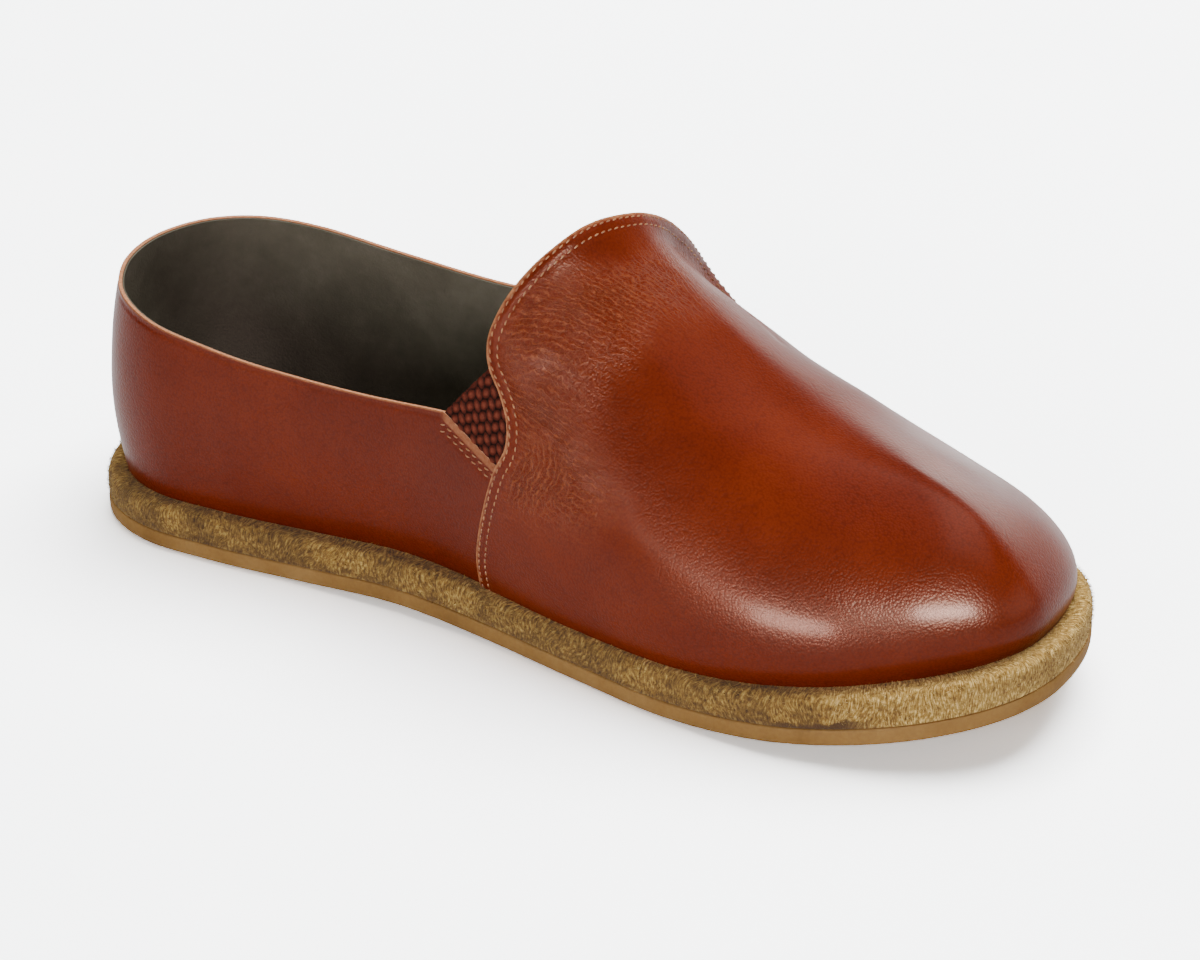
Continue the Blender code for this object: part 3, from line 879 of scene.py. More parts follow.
# Soft creases, as x, y, z of each end or bend on the leather, then width and depth.
CREASES = (
    ((174, 18, 75), (190, 17, 68), (208, 15, 63), 11.0, -0.85),
    ((179, 14, 76), (184, 12, 74), (190, 9, 72), 1.7, 0.35),
    ((160, -46, 62), (170, -47, 56), (182, -50, 48), 5.0, 0.45),
    ((157, -44, 76), (168, -42, 70), (180, -42, 62), 4.0, 0.35),
    ((156, -38, 88), (166, -36, 80), (178, -34, 74), 3.5, 0.25),
    ((158, -50, 40), (170, -53, 34), (186, -54, 30), 5.0, 0.40),
    ((165, -48, 60), (168, -49, 57), (172, -50, 54), 4.0, -0.50),
    ((256, -47, 10), (253, -44, 26), (247, -38, 42), (236, -28, 54), 8.5, 0.42),
    ((262, 20, 40), (254, 8, 54), (244, -4, 58), 9.0, 0.35),
)

# The tab stands away from the foot at its edge, as (share of the way around, lift).
FLARE = (
    (0.0, 0.0),
    (0.62, 0.0),
    (0.85, 1.1),
    (1.03, 1.1),
    (1.2, 0.45),
    (1.42, 0.45),
    (1.52, 0.0),
    (2.0, 0.0),
)
FLARE_REACH = 5.5
HOLLOW_DEPTH = 3.6
HOLLOW_ENDS = (158.0, 190.0)
HOLLOW_AROUND = (0.98, 1.22, 1.4, 1.75)
HOLLOW_FROM_EDGE = (0.2, 7.0)


def hollow(places, around, from_edge):
    """How far the lateral flank falls in just ahead of the tab's edge."""
    along = 1.0 - step(places[..., 0], *HOLLOW_ENDS)
    return HOLLOW_DEPTH * along * band(around, *HOLLOW_AROUND) * step(from_edge, *HOLLOW_FROM_EDGE)


def groove(distance, place, width, depth):
    """A soft groove, by its distance from a line."""
    return -depth * np.exp(-(((distance - place) / width) ** 2))


def relief(places, creases):
    """Troughs below zero and ridges above it, laid along soft lines."""
    total = np.zeros(len(places))
    for *points, width, depth in creases:
        line = np.array(points, dtype=float)
        share = np.linspace(0.0, 1.0, len(line))
        at = np.linspace(0.0, 1.0, 13)
        line = np.stack([smooth(share, line[:, k], at) for k in range(3)], -1) if len(line) > 2 else line
        total += groove(near_line(places, line, 4.0 * width), 0.0, width, depth)
    return total


def lengths(places, axis):
    """Distance run along the rows or the columns of a grid, in millimetres."""
    steps = np.linalg.norm(np.diff(places, axis=axis), axis=-1)
    start = np.zeros_like(np.take(steps, [0], axis=axis))
    return np.concatenate([start, np.cumsum(steps, axis=axis)], axis=axis)


# Fine wrinkles fan forward from the elastic and the tab's edge, where the leather is gathered.
WRINKLE_APART = 1.7
WRINKLE_DEPTH = 0.14
WRINKLED_RUN = (2.0, 7.0, 18.0, 42.0)
WRINKLED_HEIGHT = (34.0, 50.0, 92.0, 103.0)
CROSSED_PATCH = (12.5, 51.0)
CROSSED_REACH = (5.0, 10.0)

run_along = lengths(vamp_places, 1)
middle_column = lengths(vamp_places[:, :1], 0)
run_around = np.broadcast_to(middle_column, run_along.shape)
bent = np.stack([run_along, run_around, np.zeros_like(run_along)], -1).reshape(-1, 3)
swirl = 2.6 * lumps(bent * MM, 21.0, 11) + 0.7 * lumps(bent * MM, 6.0, 12)
total_round = middle_column[-1, 0]
up_the_edge = np.minimum(bent[:, 1], total_round - bent[:, 1])
fanning = 0.45 * step(flat_places[:, 2], 55.0, 100.0) - 0.12 * (1.0 - step(flat_places[:, 2], 35.0, 60.0))
wrinkle_line = up_the_edge - fanning * bent[:, 0] + swirl
from_patch = np.hypot(bent[:, 0] - CROSSED_PATCH[0], 0.7 * (flat_places[:, 2] - CROSSED_PATCH[1]))
crossed = 1.0 - step(from_patch + 1.5 * lumps(bent * MM, 7.0, 13), *CROSSED_REACH)
broken = 0.35 + 0.65 * step(lumps(bent * np.array([0.45, 1.0, 1.0]) * MM, 2.6, 14), -0.25, 0.25)
wrinkles = np.abs(np.sin(math.pi * wrinkle_line / WRINKLE_APART)) * broken
wrinkled = (band(run_along, *WRINKLED_RUN) * band(vamp_z, *WRINKLED_HEIGHT)).reshape(-1)
wrinkled = wrinkled * (0.65 + 0.35 * np.clip(1.5 * lumps(bent * MM, 11.0, 15) + 0.5, 0.0, 1.0))

soft = relief(flat_places, CREASES)
metres = flat_places * MM
broad = lumps(metres, 34.0, 5) * 0.22 + lumps(metres, 15.0, 6) * 0.07
fade = np.clip(from_edge.reshape(-1) / 6.0, 0.0, 1.0) * np.clip(above_sole.reshape(-1) / 6.0, 0.0, 1.0)
edge_distance = from_edge.reshape(-1)
stitched = sum(groove(edge_distance, place, *STITCH_PULL) for place in STITCH_ROWS)
tuck = -lumps(metres, 1.9, 7) * groove(edge_distance, *TUCKED)
skived = -SKIVING * np.exp(-edge_distance / SKIVED_WIDTH)
flare = np.interp(around, column(FLARE, 0), column(FLARE, 1))[:, None]
flare = flare * np.exp(-((from_edge / FLARE_REACH) ** 2))
gathers = (wrinkles - 0.4) * WRINKLE_DEPTH * wrinkled
lift = (soft + broad * fade + stitched + tuck + skived + gathers).reshape(vamp_turn.shape)
lift = lift + flare - hollow(vamp_places, vamp_around, from_edge)
vamp_places = vamp_places + vamp_out * lift[..., None]

# The cut edge shows raw, and the top of the toe is waxed and polished.
RAW_BAND = (0.35, 0.75)
POLISHED_FROM = (208.0, 246.0)
POLISHED_ABOVE = (43.0, 54.0)

vamp = sheet("calf_vamp", vamp_places)
raw_band = 1.0 - step(edge_distance + 0.25 * lumps(metres, 1.5, 16), *RAW_BAND)
polished = step(flat_places[:, 0], *POLISHED_FROM) * step(flat_places[:, 2], *POLISHED_ABOVE)
for name, values in (("raw_band", raw_band), ("wrinkled", wrinkled), ("wrinkle_run", bent[:, 0]),
                     ("wrinkle_line", wrinkle_line), ("crossed", crossed), ("polish", polished)):
    paint(vamp, name, values)


def line_at(distance, places, from_edge):
    """The line on a grid that runs at a distance from its first column."""
    found = []
    for row, apart in zip(places, from_edge):
        k = int(np.argmax(apart > distance))
        t = (distance - apart[k - 1]) / max(apart[k] - apart[k - 1], 1e-6)
        found.append(row[k - 1] * (1 - t) + row[k] * t)
    return np.array(found)


vamp_stitch_lines = [line_at(d, vamp_places, from_edge) for d in STITCH_ROWS]
vamp_stitch_out = [line_at(d, vamp_out, from_edge) for d in STITCH_ROWS]


def thicken(piece, thickness, bevel=0.0):
    """Gives a sheet its thickness inwards, and eases its edges. The cut edges take the second material."""
    pick(piece)
    wall = piece.modifiers.new("thickness", "SOLIDIFY")
    wall.thickness = thickness * MM
    wall.offset = -1.0
    wall.use_rim = True
    wall.material_offset_rim = 1
    bpy.ops.object.modifier_apply(modifier="thickness")
    if bevel:
        eased = piece.modifiers.new("edges", "BEVEL")
        eased.width = bevel * MM
        eased.segments = 2
        eased.limit_method = "ANGLE"
        eased.angle_limit = math.radians(60.0)
        bpy.ops.object.modifier_apply(modifier="edges")
    bpy.ops.object.shade_smooth_by_angle(angle=SHARP)


# Scuffs on the toe, as the middle and half the run of each in millimetres, and its width.
SCUFFS = (((269.1, 13.2, 38.6), (0.95, 1.1, -1.7), 0.28), ((264.4, 9.1, 44.5), (0.3, 0.9, -0.2), 0.30))
SCUFF_DARK = (0.020, 0.006, 0.003, 1.0)


def scuff(tree, middle, run, width):
    """A short soft line on the surface, from 0 to 1."""
    centre = tuple((Vector(middle) - Vector((SOLE_LENGTH / 2.0, 0.0, 0.0))) * MM)
    way = tuple(Vector(run).normalized())
    off = maths(tree, "SUBTRACT", add(tree, "TexCoord").outputs["Object"], centre, kind="VectorMath")
    beside = maths(tree, "CROSS_PRODUCT", off, way, kind="VectorMath")
    apart = maths(tree, "LENGTH", beside, kind="VectorMath", output="Value")
    along = maths(tree, "DOT_PRODUCT", off, way, kind="VectorMath", output="Value")
    wide = soft_range(tree, apart, 0.0, width * MM, 1.0, 0.0)
    reach = 1.3 * Vector(run).length * MM
    long = soft_range(tree, maths(tree, "ABSOLUTE", along), 0.0, reach, 1.0, 0.0)
    return maths(tree, "MULTIPLY", wide, long)


def crests(tree, run, line):
    """Fine folds that run one way, wavering and broken, with a thin crackle between them, from 0 to 1."""
    laid = add(tree, "CombineXYZ", X=run, Y=line).outputs["Vector"]
    waver = add(tree, "TexNoise", Scale=0.37, Detail=3.5, Roughness=0.6, Vector=laid).outputs["Fac"]
    phase = maths(tree, "MULTIPLY_ADD", waver, 2.6, maths(tree, "DIVIDE", line, WRINKLE_APART))
    narrow = soft_range(tree, maths(tree, "PINGPONG", phase, 0.5), 0.24, 0.49)
    stretched = add(tree, "Mapping", Scale=(0.45, 0.9, 1.0), Vector=laid).outputs["Vector"]
    breaks = add(tree, "TexNoise", Scale=1.0, Detail=2.0, Vector=stretched).outputs["Fac"]
    folded = maths(tree, "MULTIPLY", narrow, soft_range(tree, breaks, 0.32, 0.48))
    crackle = add(tree, "TexNoise", Scale=0.95, Detail=3.0, Roughness=0.6, Vector=laid).outputs["Fac"]
    apart = maths(tree, "ABSOLUTE", maths(tree, "SUBTRACT", crackle, 0.5))
    return maths(tree, "MAXIMUM", folded, soft_range(tree, apart, 0.0, 0.06, 0.55, 0.0))


def smooth_calf(name):
    """Smooth calf: warm brown dye in soft patches, pores, painted highlights on the folds where it is
    gathered, and wax.
    """
    leather, tree, shader = new_material(name)
    patches = use_group(tree, mottle, Scale=24.0, Detail=3.0, Contrast=1.5)
    tint = ramp(tree, patches, (
        (0.0, (0.094, 0.0068, 0.0004)), (0.5, (0.130, 0.0112, 0.0006)), (1.0, (0.175, 0.0185, 0.0011))))
    grain = use_group(tree, pores, Scale=1650.0)
    worn = ramp(tree, grain, ((0.25, (0.72, 0.66, 0.60)), (0.62, (1.0, 1.0, 1.0))))
    colour = blend(tree, 0.8, tint, worn, "MULTIPLY")
    gathered = painted(tree, "wrinkled")
    run, line = painted(tree, "wrinkle_run"), painted(tree, "wrinkle_line")
    crossed_here = painted(tree, "crossed")
    crest = blend(tree, crossed_here, crests(tree, run, line), crests(tree, line, run), data="FLOAT")
    # The fold crests are painted light and pink as a painted highlight, standing in for their glints.
    crest_glint = maths(tree, "MULTIPLY", crest, gathered)
    painted_crest_highlight = ramp(tree, crest_glint, ((0.0, (1.0, 1.0, 1.0)), (1.0, (1.9, 4.6, 26.0))))
    colour = blend(tree, 1.0, colour, painted_crest_highlight, "MULTIPLY")
    for middle, along, width in SCUFFS:
        colour = blend(tree, scuff(tree, middle, along, width), colour, SCUFF_DARK)
    raw = painted(tree, "raw_band")
    fibres = use_group(tree, mottle, Scale=900.0, Contrast=1.8)
    bare = ramp(tree, fibres, ((0.0, (0.260, 0.085, 0.030)), (1.0, (0.560, 0.240, 0.110))))
    waxed = maths(tree, "MULTIPLY_ADD", painted(tree, "polish"), 0.42, 0.10)
    feed(tree, shader, Base_Color=blend(tree, raw, colour, bare), Coat_Weight=waxed, Coat_Roughness=0.20,
         Roughness=blend(tree, raw, grey(tree, patches, 0.28, 0.37), 0.8, data="FLOAT"),
         Specular_IOR_Level=0.11, Specular_Tint=(1.0, 0.82, 0.70, 1.0),
         Normal=bump(tree, crest, gathered, 0.00024, Normal=bump(tree, grain, 1.0, 0.00008)))
    return leather


calf = smooth_calf("brown_calf")
raw_edge = patchy(
    "raw_leather_edge", 0.8, {"Scale": 1300.0, "Contrast": 1.8},
    ((0.0, (0.260, 0.085, 0.030)), (0.6, (0.480, 0.200, 0.090)), (1.0, (0.640, 0.330, 0.180))),
    {"Scale": 1300.0, "Contrast": 1.8}, 0.5)
vamp.data.materials.append(calf)
vamp.data.materials.append(raw_edge)
sew(vamp)
thicken(vamp, VAMP_LEATHER, VAMP_EASED)
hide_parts("upper")
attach(vamp, "root")


# ---- Quarter -----------------------------------------------------------------------------
# The back of the shoe, one piece of the same calf from the medial seam round the heel to the
# lateral seam. It passes under the vamp, and its edge along the elastic is turned and stitched.
QUARTER_LEATHER = 1.1
QUARTER_UNDERLAP = 3.0
QUARTER_ROWS = 84
QUARTER_COLUMNS = 420
QUARTER_EASED = 0.2
TURNED_EDGE = 2.1
NOTCH_STITCH_ROWS = (3.0, 4.6)
COLLAR_STITCH_ROW = 1.5
NOTCH_PULL = (0.55, 0.18)
COLLAR_PULL = (0.6, 0.16)
COLLAR = ((-35.0, 70.0), (20.0, 66.0), (45.0, 62.0), (75.0, 58.5), (105.0, 58.0), (129.0, 60.0))
ELASTIC_NOTCH = ((129.0, 60.0), (138.5, 55.0), (147.6, 50.5), (156.0, 46.4))
NOTCH_START = 129.0


def quarter_top(u):
    """Height of the quarter's upper edge, as seen from the side."""
    collar = smooth(column(COLLAR, 0), column(COLLAR, 1), u)
    notch = smooth(column(ELASTIC_NOTCH, 0), column(ELASTIC_NOTCH, 1), u)
    return np.where(u < NOTCH_START, collar, notch)


def top_around(turn, out, drop=0.0):
    """Where a rib behind the vamp meets the quarter's upper edge, as a share of the rib."""

    def under(share):
        u, z = side_view(shell(turn, share, out))
        return z < quarter_top(u) - drop

    return settle(np.zeros(turn.shape), np.full(turn.shape, 0.97), under)


def quarter_grid(out, rows, columns, lap, drop=0.0):
    """Turns and shares from the medial seam round the heel to the lateral seam."""
    fractions = 1.0 - (1.0 - np.linspace(0.0, 1.0, rows)) ** 1.15
    ends = {}
    for side in (MEDIAL, LATERAL):
        share = np.full(1, 0.5)
        for _ in range(6):
            turn = edge_turn(on_side(share, side), out, lap)
            share = top_around(turn if side == MEDIAL else -turn, out, drop)
        ends[side] = edge_turn(on_side(fractions * share, side), out, lap)
    apart = ends[MEDIAL] + ends[LATERAL]
    turn = ends[MEDIAL][:, None] - apart[:, None] * np.linspace(0.0, 1.0, columns)
    return turn, fractions[:, None] * top_around(turn[-1], out, drop)[None, :]


quarter_turn, quarter_share = quarter_grid(QUARTER_WALL, QUARTER_ROWS, QUARTER_COLUMNS, QUARTER_UNDERLAP)
quarter_places = shell(quarter_turn, quarter_share, QUARTER_WALL)
quarter_out = skin_normal(quarter_turn, quarter_share)
from_top = near_line(quarter_places.reshape(-1, 3), quarter_places[-1], 30.0)
metres = quarter_places.reshape(-1, 3) * MM
quarter_rise = (quarter_places[..., 2] - midsole_top(quarter_places[..., :2])).reshape(-1)
fade = np.clip(from_top / 6.0, 0.0, 1.0) * np.clip(quarter_rise / 6.0, 0.0, 1.0)
lift = (lumps(metres, 30.0, 8) * 0.25 + lumps(metres, 12.0, 9) * 0.06) * fade
in_notch = step(side_view(quarter_places)[0].reshape(-1), NOTCH_START - 1.0, NOTCH_START + 1.0)
for place in NOTCH_STITCH_ROWS:
    lift += groove(from_top, place, *NOTCH_PULL) * in_notch
lift += groove(from_top, COLLAR_STITCH_ROW, *COLLAR_PULL) * (1.0 - in_notch)
quarter_places = quarter_places + quarter_out * lift.reshape(quarter_share.shape)[..., None]
quarter = sheet("calf_quarter", quarter_places)
turned = (1.0 - step(from_top, TURNED_EDGE - 0.3, TURNED_EDGE + 0.1)) * in_notch * 0.5
cut_line = (1.0 - step(from_top, 0.2, 0.5)) * (1.0 - in_notch)
paint(quarter, "raw_band", np.maximum(turned, 0.6 * cut_line))
for absent in ("wrinkled", "wrinkle_run", "wrinkle_line", "crossed", "polish"):
    paint(quarter, absent, np.zeros(len(from_top)))
quarter.data.materials.append(calf)
quarter.data.materials.append(raw_edge)
sew(quarter)
thicken(quarter, QUARTER_LEATHER, QUARTER_EASED)
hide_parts("upper")
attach(quarter, "root")


# ---- Lining ------------------------------------------------------------------------------
# Grey-green pigskin, in a front and a back piece, glued inside the whole upper. It ends just
# short of the leather's edges, and the two pieces overlap under the vamp's rear edge.
LINING_BACK = 0.45
LINING_FRONT = 1.5
LINING_SHORT = 0.5
BACK_UNDERLAP = 6.0
BACK_ROWS = 42
BACK_COLUMNS = 200
FRONT_ROWS = 130
FRONT_COLUMNS = 70

lining_turn, lining_share = quarter_grid(0.0, BACK_ROWS, BACK_COLUMNS, BACK_UNDERLAP, LINING_SHORT)
back_lining = sheet("quarter_lining", shell(lining_turn, lining_share, LINING_BACK))
around = np.linspace(0.0, 2.0, FRONT_ROWS)
start = edge_turn(around, LINING_FRONT, LINING_SHORT)
front_turn = start[:, None] + (math.pi - start[:, None]) * np.linspace(0.0, 1.0, FRONT_COLUMNS)
front_around = np.broadcast_to(around[:, None], front_turn.shape)
front_places = shell(front_turn, front_around, LINING_FRONT)
from_front = near_line(front_places.reshape(-1, 3), front_places[:, 0], 60.0).reshape(front_turn.shape)
fallen = hollow(front_places, front_around, from_front)[..., None]
front_lining = sheet("vamp_lining", front_places - skin_normal(front_turn, front_around) * fallen)
for piece, thickness in ((back_lining, LINING_BACK), (front_lining, LINING_FRONT)):
    piece.data.materials.append(lining_leather)
    piece.data.materials.append(lining_leather)
    sew(piece)
    thicken(piece, thickness)
    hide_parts("upper")
    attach(piece, "root")


# ---- Elastic -----------------------------------------------------------------------------
# A small gore of woven elastic on each side, held between the lining and the leather. Its
# dark brown ribs are plaited, and its top edge is a straight selvedge.
GORE_OUT = 0.55
GORE_RIB = 2.15
GORE_PICK = 3.0
GORE_SLOPE = 0.35
GORE_RELIEF = 0.55
GORE_TOP = ((129.0, 60.0), (141.5, 75.0))
GORE_AHEAD = 3.0
GORE_DEEP = 23.5
GORE_LONG = 22.0
GORE_THICKNESS = 0.5
GORE_COLUMNS = 150
GORE_ROWS = 140
SELVEDGE = 1.1
SMALL = 1e-3


def skin_from_side(u, z, side):
    """The turn and share of the point that is seen at (u, z) from the side."""
    turn = np.full(u.shape, 1.6)
    share = np.full(u.shape, 0.5)
    for _ in range(14):
        around = on_side(share, side)
        found = []
        for dt, ds in ((0.0, 0.0), (SMALL, 0.0), (0.0, SMALL)):
            moved = around + (ds if side == MEDIAL else -ds)
            found.append(np.stack(side_view(skin(turn + dt, moved)), -1))
        here, by_turn, by_share = found
        miss = np.stack([u, z], -1) - here
        a, c = np.moveaxis((by_turn - here) / SMALL, -1, 0)
        b, d = np.moveaxis((by_share - here) / SMALL, -1, 0)
        size = a * d - b * c
        onward = np.clip((d * miss[..., 0] - b * miss[..., 1]) / size, -0.3, 0.3)
        upward = np.clip((a * miss[..., 1] - c * miss[..., 0]) / size, -0.2, 0.2)
        turn, share = np.clip(turn + onward, 0.7, 2.6), np.clip(share + upward, 0.02, 0.99)
    return turn, on_side(share, side)


elastic, tree, shader = new_material("woven_elastic")
twist = use_group(tree, mottle, Scale=1800.0, Contrast=1.6)
# The yarn's colour follows the weave's height. Painted shade darkens the gaps to near black, and a painted
# highlight lightens the crowns of the ribs, over the ribs' own red-brown.
yarn_painted_shade_and_highlight = ramp(tree, painted(tree, "height"), (
    (0.0, (0.0040, 0.0010, 0.0006)), (0.45, (0.0120, 0.0026, 0.0015)), (0.80, (0.090, 0.0150, 0.0080)),
    (1.0, (0.180, 0.0400, 0.0230))))
shade = ramp(tree, twist, ((0.2, (0.6, 0.6, 0.6)), (0.8, (1.15, 1.1, 1.1))))
feed(tree, shader, Base_Color=blend(tree, 0.9, yarn_painted_shade_and_highlight, shade, "MULTIPLY"), Roughness=0.75,
     Specular_IOR_Level=0.04, Normal=bump(tree, twist, 0.5, 0.00012))

top_start, top_end = np.array(GORE_TOP)
along_top = (top_end - top_start) / np.linalg.norm(top_end - top_start)
inward = np.array([along_top[1], -along_top[0]])
down_gore = np.linspace(0.0, GORE_DEEP, GORE_ROWS)
first, second = np.meshgrid(np.linspace(-GORE_AHEAD, GORE_LONG, GORE_COLUMNS), down_gore)
for side, node in ((MEDIAL, "gusset_medial"), (LATERAL, "gusset_lateral")):
    target = top_start + along_top * first[..., None] + inward * second[..., None]
    turn, around = skin_from_side(target[..., 0], target[..., 1], side)
    # Thick warp ribs stand upright. Each is tied down in turn with its neighbours, and leans aside.
    across_ribs = target[..., 0] / GORE_RIB
    which = np.floor(across_ribs)
    beside = across_ribs - which - 0.5
    turn_about = np.where(which % 2 == 0, 1.0, -1.0)
    picks = (target[..., 1] + GORE_SLOPE * target[..., 0]) / GORE_PICK
    picks = picks + 0.5 * (which % 2) + 0.35 * beside * turn_about
    above = picks - np.floor(picks) - 0.5
    round_rib = np.sqrt(np.clip(1.0 - (2.0 * beside) ** 2, 0.0, 1.0))
    weave = round_rib * np.clip(1.0 - (2.0 * above) ** 2, 0.0, 1.0) ** 0.8
    selvedge = np.clip(1.0 - second / SELVEDGE, 0.0, 1.0)
    weave = weave * (1.0 - selvedge) + 0.7 * selvedge
    places = shell(turn, around, GORE_OUT)
    # Under the leather it follows the hollow of the flank.
    past_edge = turn > edge_turn(around.reshape(-1), GORE_OUT).reshape(turn.shape)
    beyond = near_line(places.reshape(-1, 3), rear_line, 30.0).reshape(turn.shape)
    sunk = hollow(places, around, beyond) * past_edge
    places = places + skin_normal(turn, around) * (weave * GORE_RELIEF - sunk)[..., None]
    gore = sheet(node.replace("gusset", "elastic_gore"), places)
    paint(gore, "height", weave.reshape(-1))
    gore.data.materials.append(elastic)
    gore.data.materials.append(elastic)
    if side == LATERAL:
        pick(gore)
        bpy.ops.object.mode_set(mode="EDIT")
        bpy.ops.mesh.select_all(action="SELECT")
        bpy.ops.mesh.flip_normals()
        bpy.ops.object.mode_set(mode="OBJECT")
    thicken(gore, GORE_THICKNESS)
    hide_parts(node)
    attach(gore, "root")


# ---- Stitches ----------------------------------------------------------------------------
# Golden waxed thread, in two rows along the vamp's cut edge and two along the turned edge at
# the elastic. Each stitch is a short bar that dips into the leather at both ends.
STITCH_PITCH = 2.15
STITCH_LENGTH = 1.5
STITCH_WIDTH = 0.44
STITCH_SLANT = 10.0
STITCH_PROUD = 0.10
STITCH_DIP = 0.22
NOTCH_PITCH = 2.2
NOTCH_RUN = (127.5, 147.0)


def one_stitch():
    """A low rounded bar with its ends pulled down."""
    deselect()
    bpy.ops.mesh.primitive_uv_sphere_add(segments=6, ring_count=6, radius=1.0)
    bar = bpy.context.object
    bpy.ops.object.mode_set(mode="EDIT")
    bpy.ops.mesh.select_all(action="SELECT")
    bpy.ops.transform.rotate(value=math.pi / 2.0, orient_axis="Y", center_override=(0.0, 0.0, 0.0))
    half = np.array([STITCH_LENGTH, STITCH_WIDTH, STITCH_WIDTH]) / 2.0 * MM
    bpy.ops.transform.resize(value=tuple(half), center_override=(0.0, 0.0, 0.0))
    bpy.ops.object.mode_set(mode="OBJECT")
    for point in bar.data.vertices:
        point.co.z -= STITCH_DIP * MM * (point.co.x / half[0]) ** 2
    return bar


def stitch_places(line, out, pitch=STITCH_PITCH, start=0.5):
    """Even places along a line, with the directions along, across and out of the leather."""
    steps = np.linalg.norm(np.diff(line, axis=0), axis=1)
    length = np.concatenate([[0.0], np.cumsum(steps)])
    count = int(length[-1] // pitch)
    at = (np.arange(count) + start) * length[-1] / count

    def along_line(values, where):
        return np.stack([np.interp(where, length, values[:, k]) for k in range(3)], -1)

    normal = along_line(out, at)
    normal /= np.linalg.norm(normal, axis=1, keepdims=True)
    along = along_line(line, at + 0.6) - along_line(line, at - 0.6)
    along -= normal * (along * normal).sum(-1, keepdims=True)
    along /= np.linalg.norm(along, axis=1, keepdims=True)
    across = np.cross(normal, along)
    c, s = math.cos(math.radians(STITCH_SLANT)), math.sin(math.radians(STITCH_SLANT))
    frames = np.stack([along * c + across * s, across * c - along * s, normal], axis=1)
    return along_line(line, at) + normal * STITCH_PROUD, frames


rows = [stitch_places(line, out, start=first_at)
        for line, out, first_at in zip(vamp_stitch_lines, vamp_stitch_out, (0.5, 0.1))]

# The quarter's rows follow its turned edge from the seam to the collar's corner.
for distance in NOTCH_STITCH_ROWS:
    for end in (MEDIAL, LATERAL):
        u = np.linspace(*NOTCH_RUN, 40)
        heights = quarter_top(np.maximum(u, NOTCH_START)) - distance * 1.12
        heights = np.where(u < NOTCH_START + 2.0, heights - (NOTCH_START + 2.0 - u) * 0.1, heights)
        turn, around = skin_from_side(u, heights, end)
        line = shell(turn, around, QUARTER_WALL)
        rows.append(stitch_places(line, skin_normal(turn, around), NOTCH_PITCH))

middles, frames = (np.concatenate(found) for found in zip(*rows))
stitches = repeated("golden_stitches", one_stitch(), middles, frames)
sew(stitches, 0.001)
stitches.data.materials.append(patchy(
    "waxed_thread", 0.5, {"Scale": 260.0, "Contrast": 2.0},
    ((0.0, (0.130, 0.042, 0.012)), (0.5, (0.290, 0.112, 0.034)), (1.0, (0.480, 0.225, 0.085))),
    {"Scale": 2200.0, "Contrast": 1.6}, 0.4))
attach(stitches, "root")


# ---- Studio ------------------------------------------------------------------------------
# A plain white cloth that sweeps up behind the shoe. One broad panel overhead and one in front
# light it, and six warm ones only show as soft gleams on the leather. Cloth and background are
# paler to the camera than to the shoe, so that no white veil lies on the leather.
SWEEP = ((-2.6, 0.0), (1.3, 0.0), (1.75, 0.12), (2.0, 0.45), (2.1, 1.0), (2.1, 1.9))
FLOOR_HALF_WIDTH = 2.6
FLOOR_DROP = -0.40
WHITE, WARM = (1.0, 1.0, 1.0), (1.0, 0.74, 0.62)

deselect()
bpy.ops.mesh.primitive_grid_add(x_subdivisions=8, y_subdivisions=40, size=2.0)
floor = bpy.context.object
floor.name = "floor"
shares = np.linspace(0.0, 1.0, len(SWEEP))
for point in floor.data.vertices:
    share = (point.co.y + 1.0) / 2.0
    y, z = (float(np.interp(share, shares, column(SWEEP, k))) for k in (0, 1))
    point.co = (point.co.x * FLOOR_HALF_WIDTH, y, z + FLOOR_DROP * MM)
bpy.ops.object.shade_smooth()

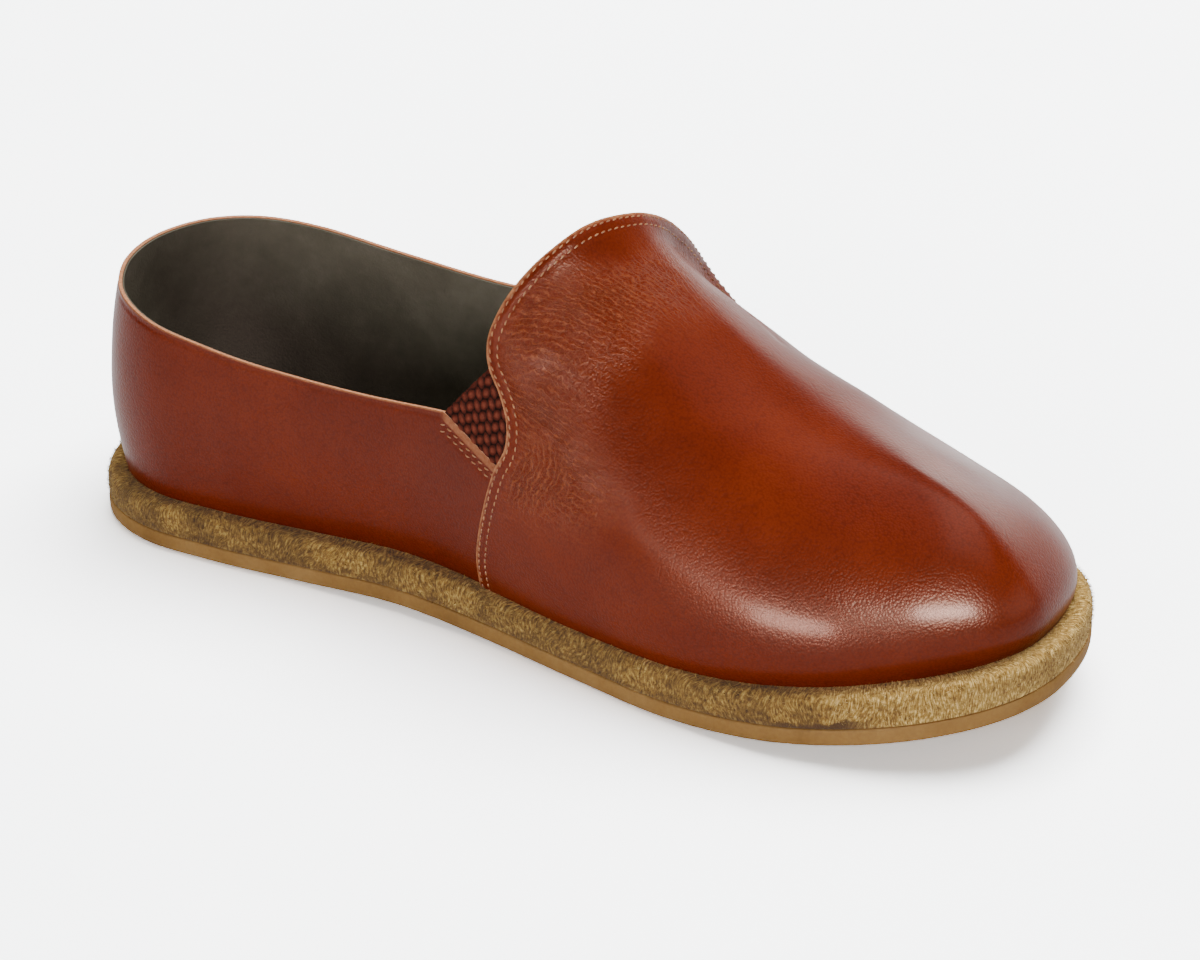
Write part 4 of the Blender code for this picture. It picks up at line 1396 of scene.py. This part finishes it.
cloth, tree, shader = new_material("white_cloth")
folds = use_group(tree, mottle, Scale=5.0, Contrast=1.4)
lit = ramp(tree, folds, ((0.0, (0.60, 0.595, 0.58)), (1.0, (0.65, 0.64, 0.62))))
seen = ramp(tree, folds, ((0.0, (3.0, 3.08, 3.12)), (1.0, (3.3, 3.34, 3.36))))
ray = add(tree, "LightPath").outputs
brighter = maths(tree, "MULTIPLY_ADD", ray["Is Glossy Ray"], 0.12, ray["Is Camera Ray"])
matt = add(tree, "BsdfDiffuse", Color=blend(tree, brighter, lit, seen)).outputs["BSDF"]
fill(tree, tree.nodes["Material Output"].inputs["Surface"], matt)
tree.nodes.remove(shader)
floor.data.materials.append(cloth)

# Each panel's place, aim, size and watts, and whether it is a gleam, which shows in gloss alone.
PANELS = (
    ("overhead", (0.0, 0.7, 1.9), (0.0, 0.0, 0.0), (1.8, 1.8), 92.0, False),
    ("front_fill", (0.35, -1.9, 0.5), (0.0, 0.0, 0.03), (1.4, 0.8), 30.0, False),
    ("front_low", (0.22, -1.48, 0.22), (0.09, -0.05, 0.03), (0.50, 0.38), 49.0, True),
    ("front_strip", (-0.55, -1.40, 0.33), (0.05, -0.05, 0.04), (1.0, 0.16), 6.0, True),
    ("front_right", (0.81, -0.74, 0.57), (0.12, -0.03, 0.04), (0.50, 0.26), 66.0, True),
    ("high_right", (0.55, 0.34, 1.2), (0.12, -0.02, 0.04), (1.1, 0.8), 4.0, True),
    ("low_right", (1.30, 0.30, 0.45), (0.13, -0.02, 0.04), (0.9, 0.5), 5.0, True),
    ("behind", (0.0, 1.9, 0.25), (0.05, 0.0, 0.05), (3.0, 1.1), 21.0, True),
)
for name, place, aim, size, watts, gleam in PANELS:
    deselect()
    bpy.ops.object.light_add(type="AREA", location=place)
    light = bpy.context.object
    light.name = light.data.name = name
    light.data.shape = "RECTANGLE"
    light.data.size, light.data.size_y = size
    light.data.energy = watts
    light.data.color = WARM if gleam else WHITE
    light.rotation_euler = (Vector(aim) - Vector(place)).to_track_quat("-Z", "Y").to_euler()
    light.visible_camera = False
    light.visible_glossy = gleam
    light.visible_diffuse = not gleam

world = bpy.data.worlds.new("studio")
world.use_nodes = True
tree = world.node_tree
seen_alone = add(tree, "LightPath").outputs["Is Camera Ray"]
glow = blend(tree, seen_alone, (0.12, 0.116, 0.113, 1.0), (4.0, 4.0, 4.0, 1.0))
feed(tree, tree.nodes["Background"], Color=glow)
bpy.context.scene.world = world
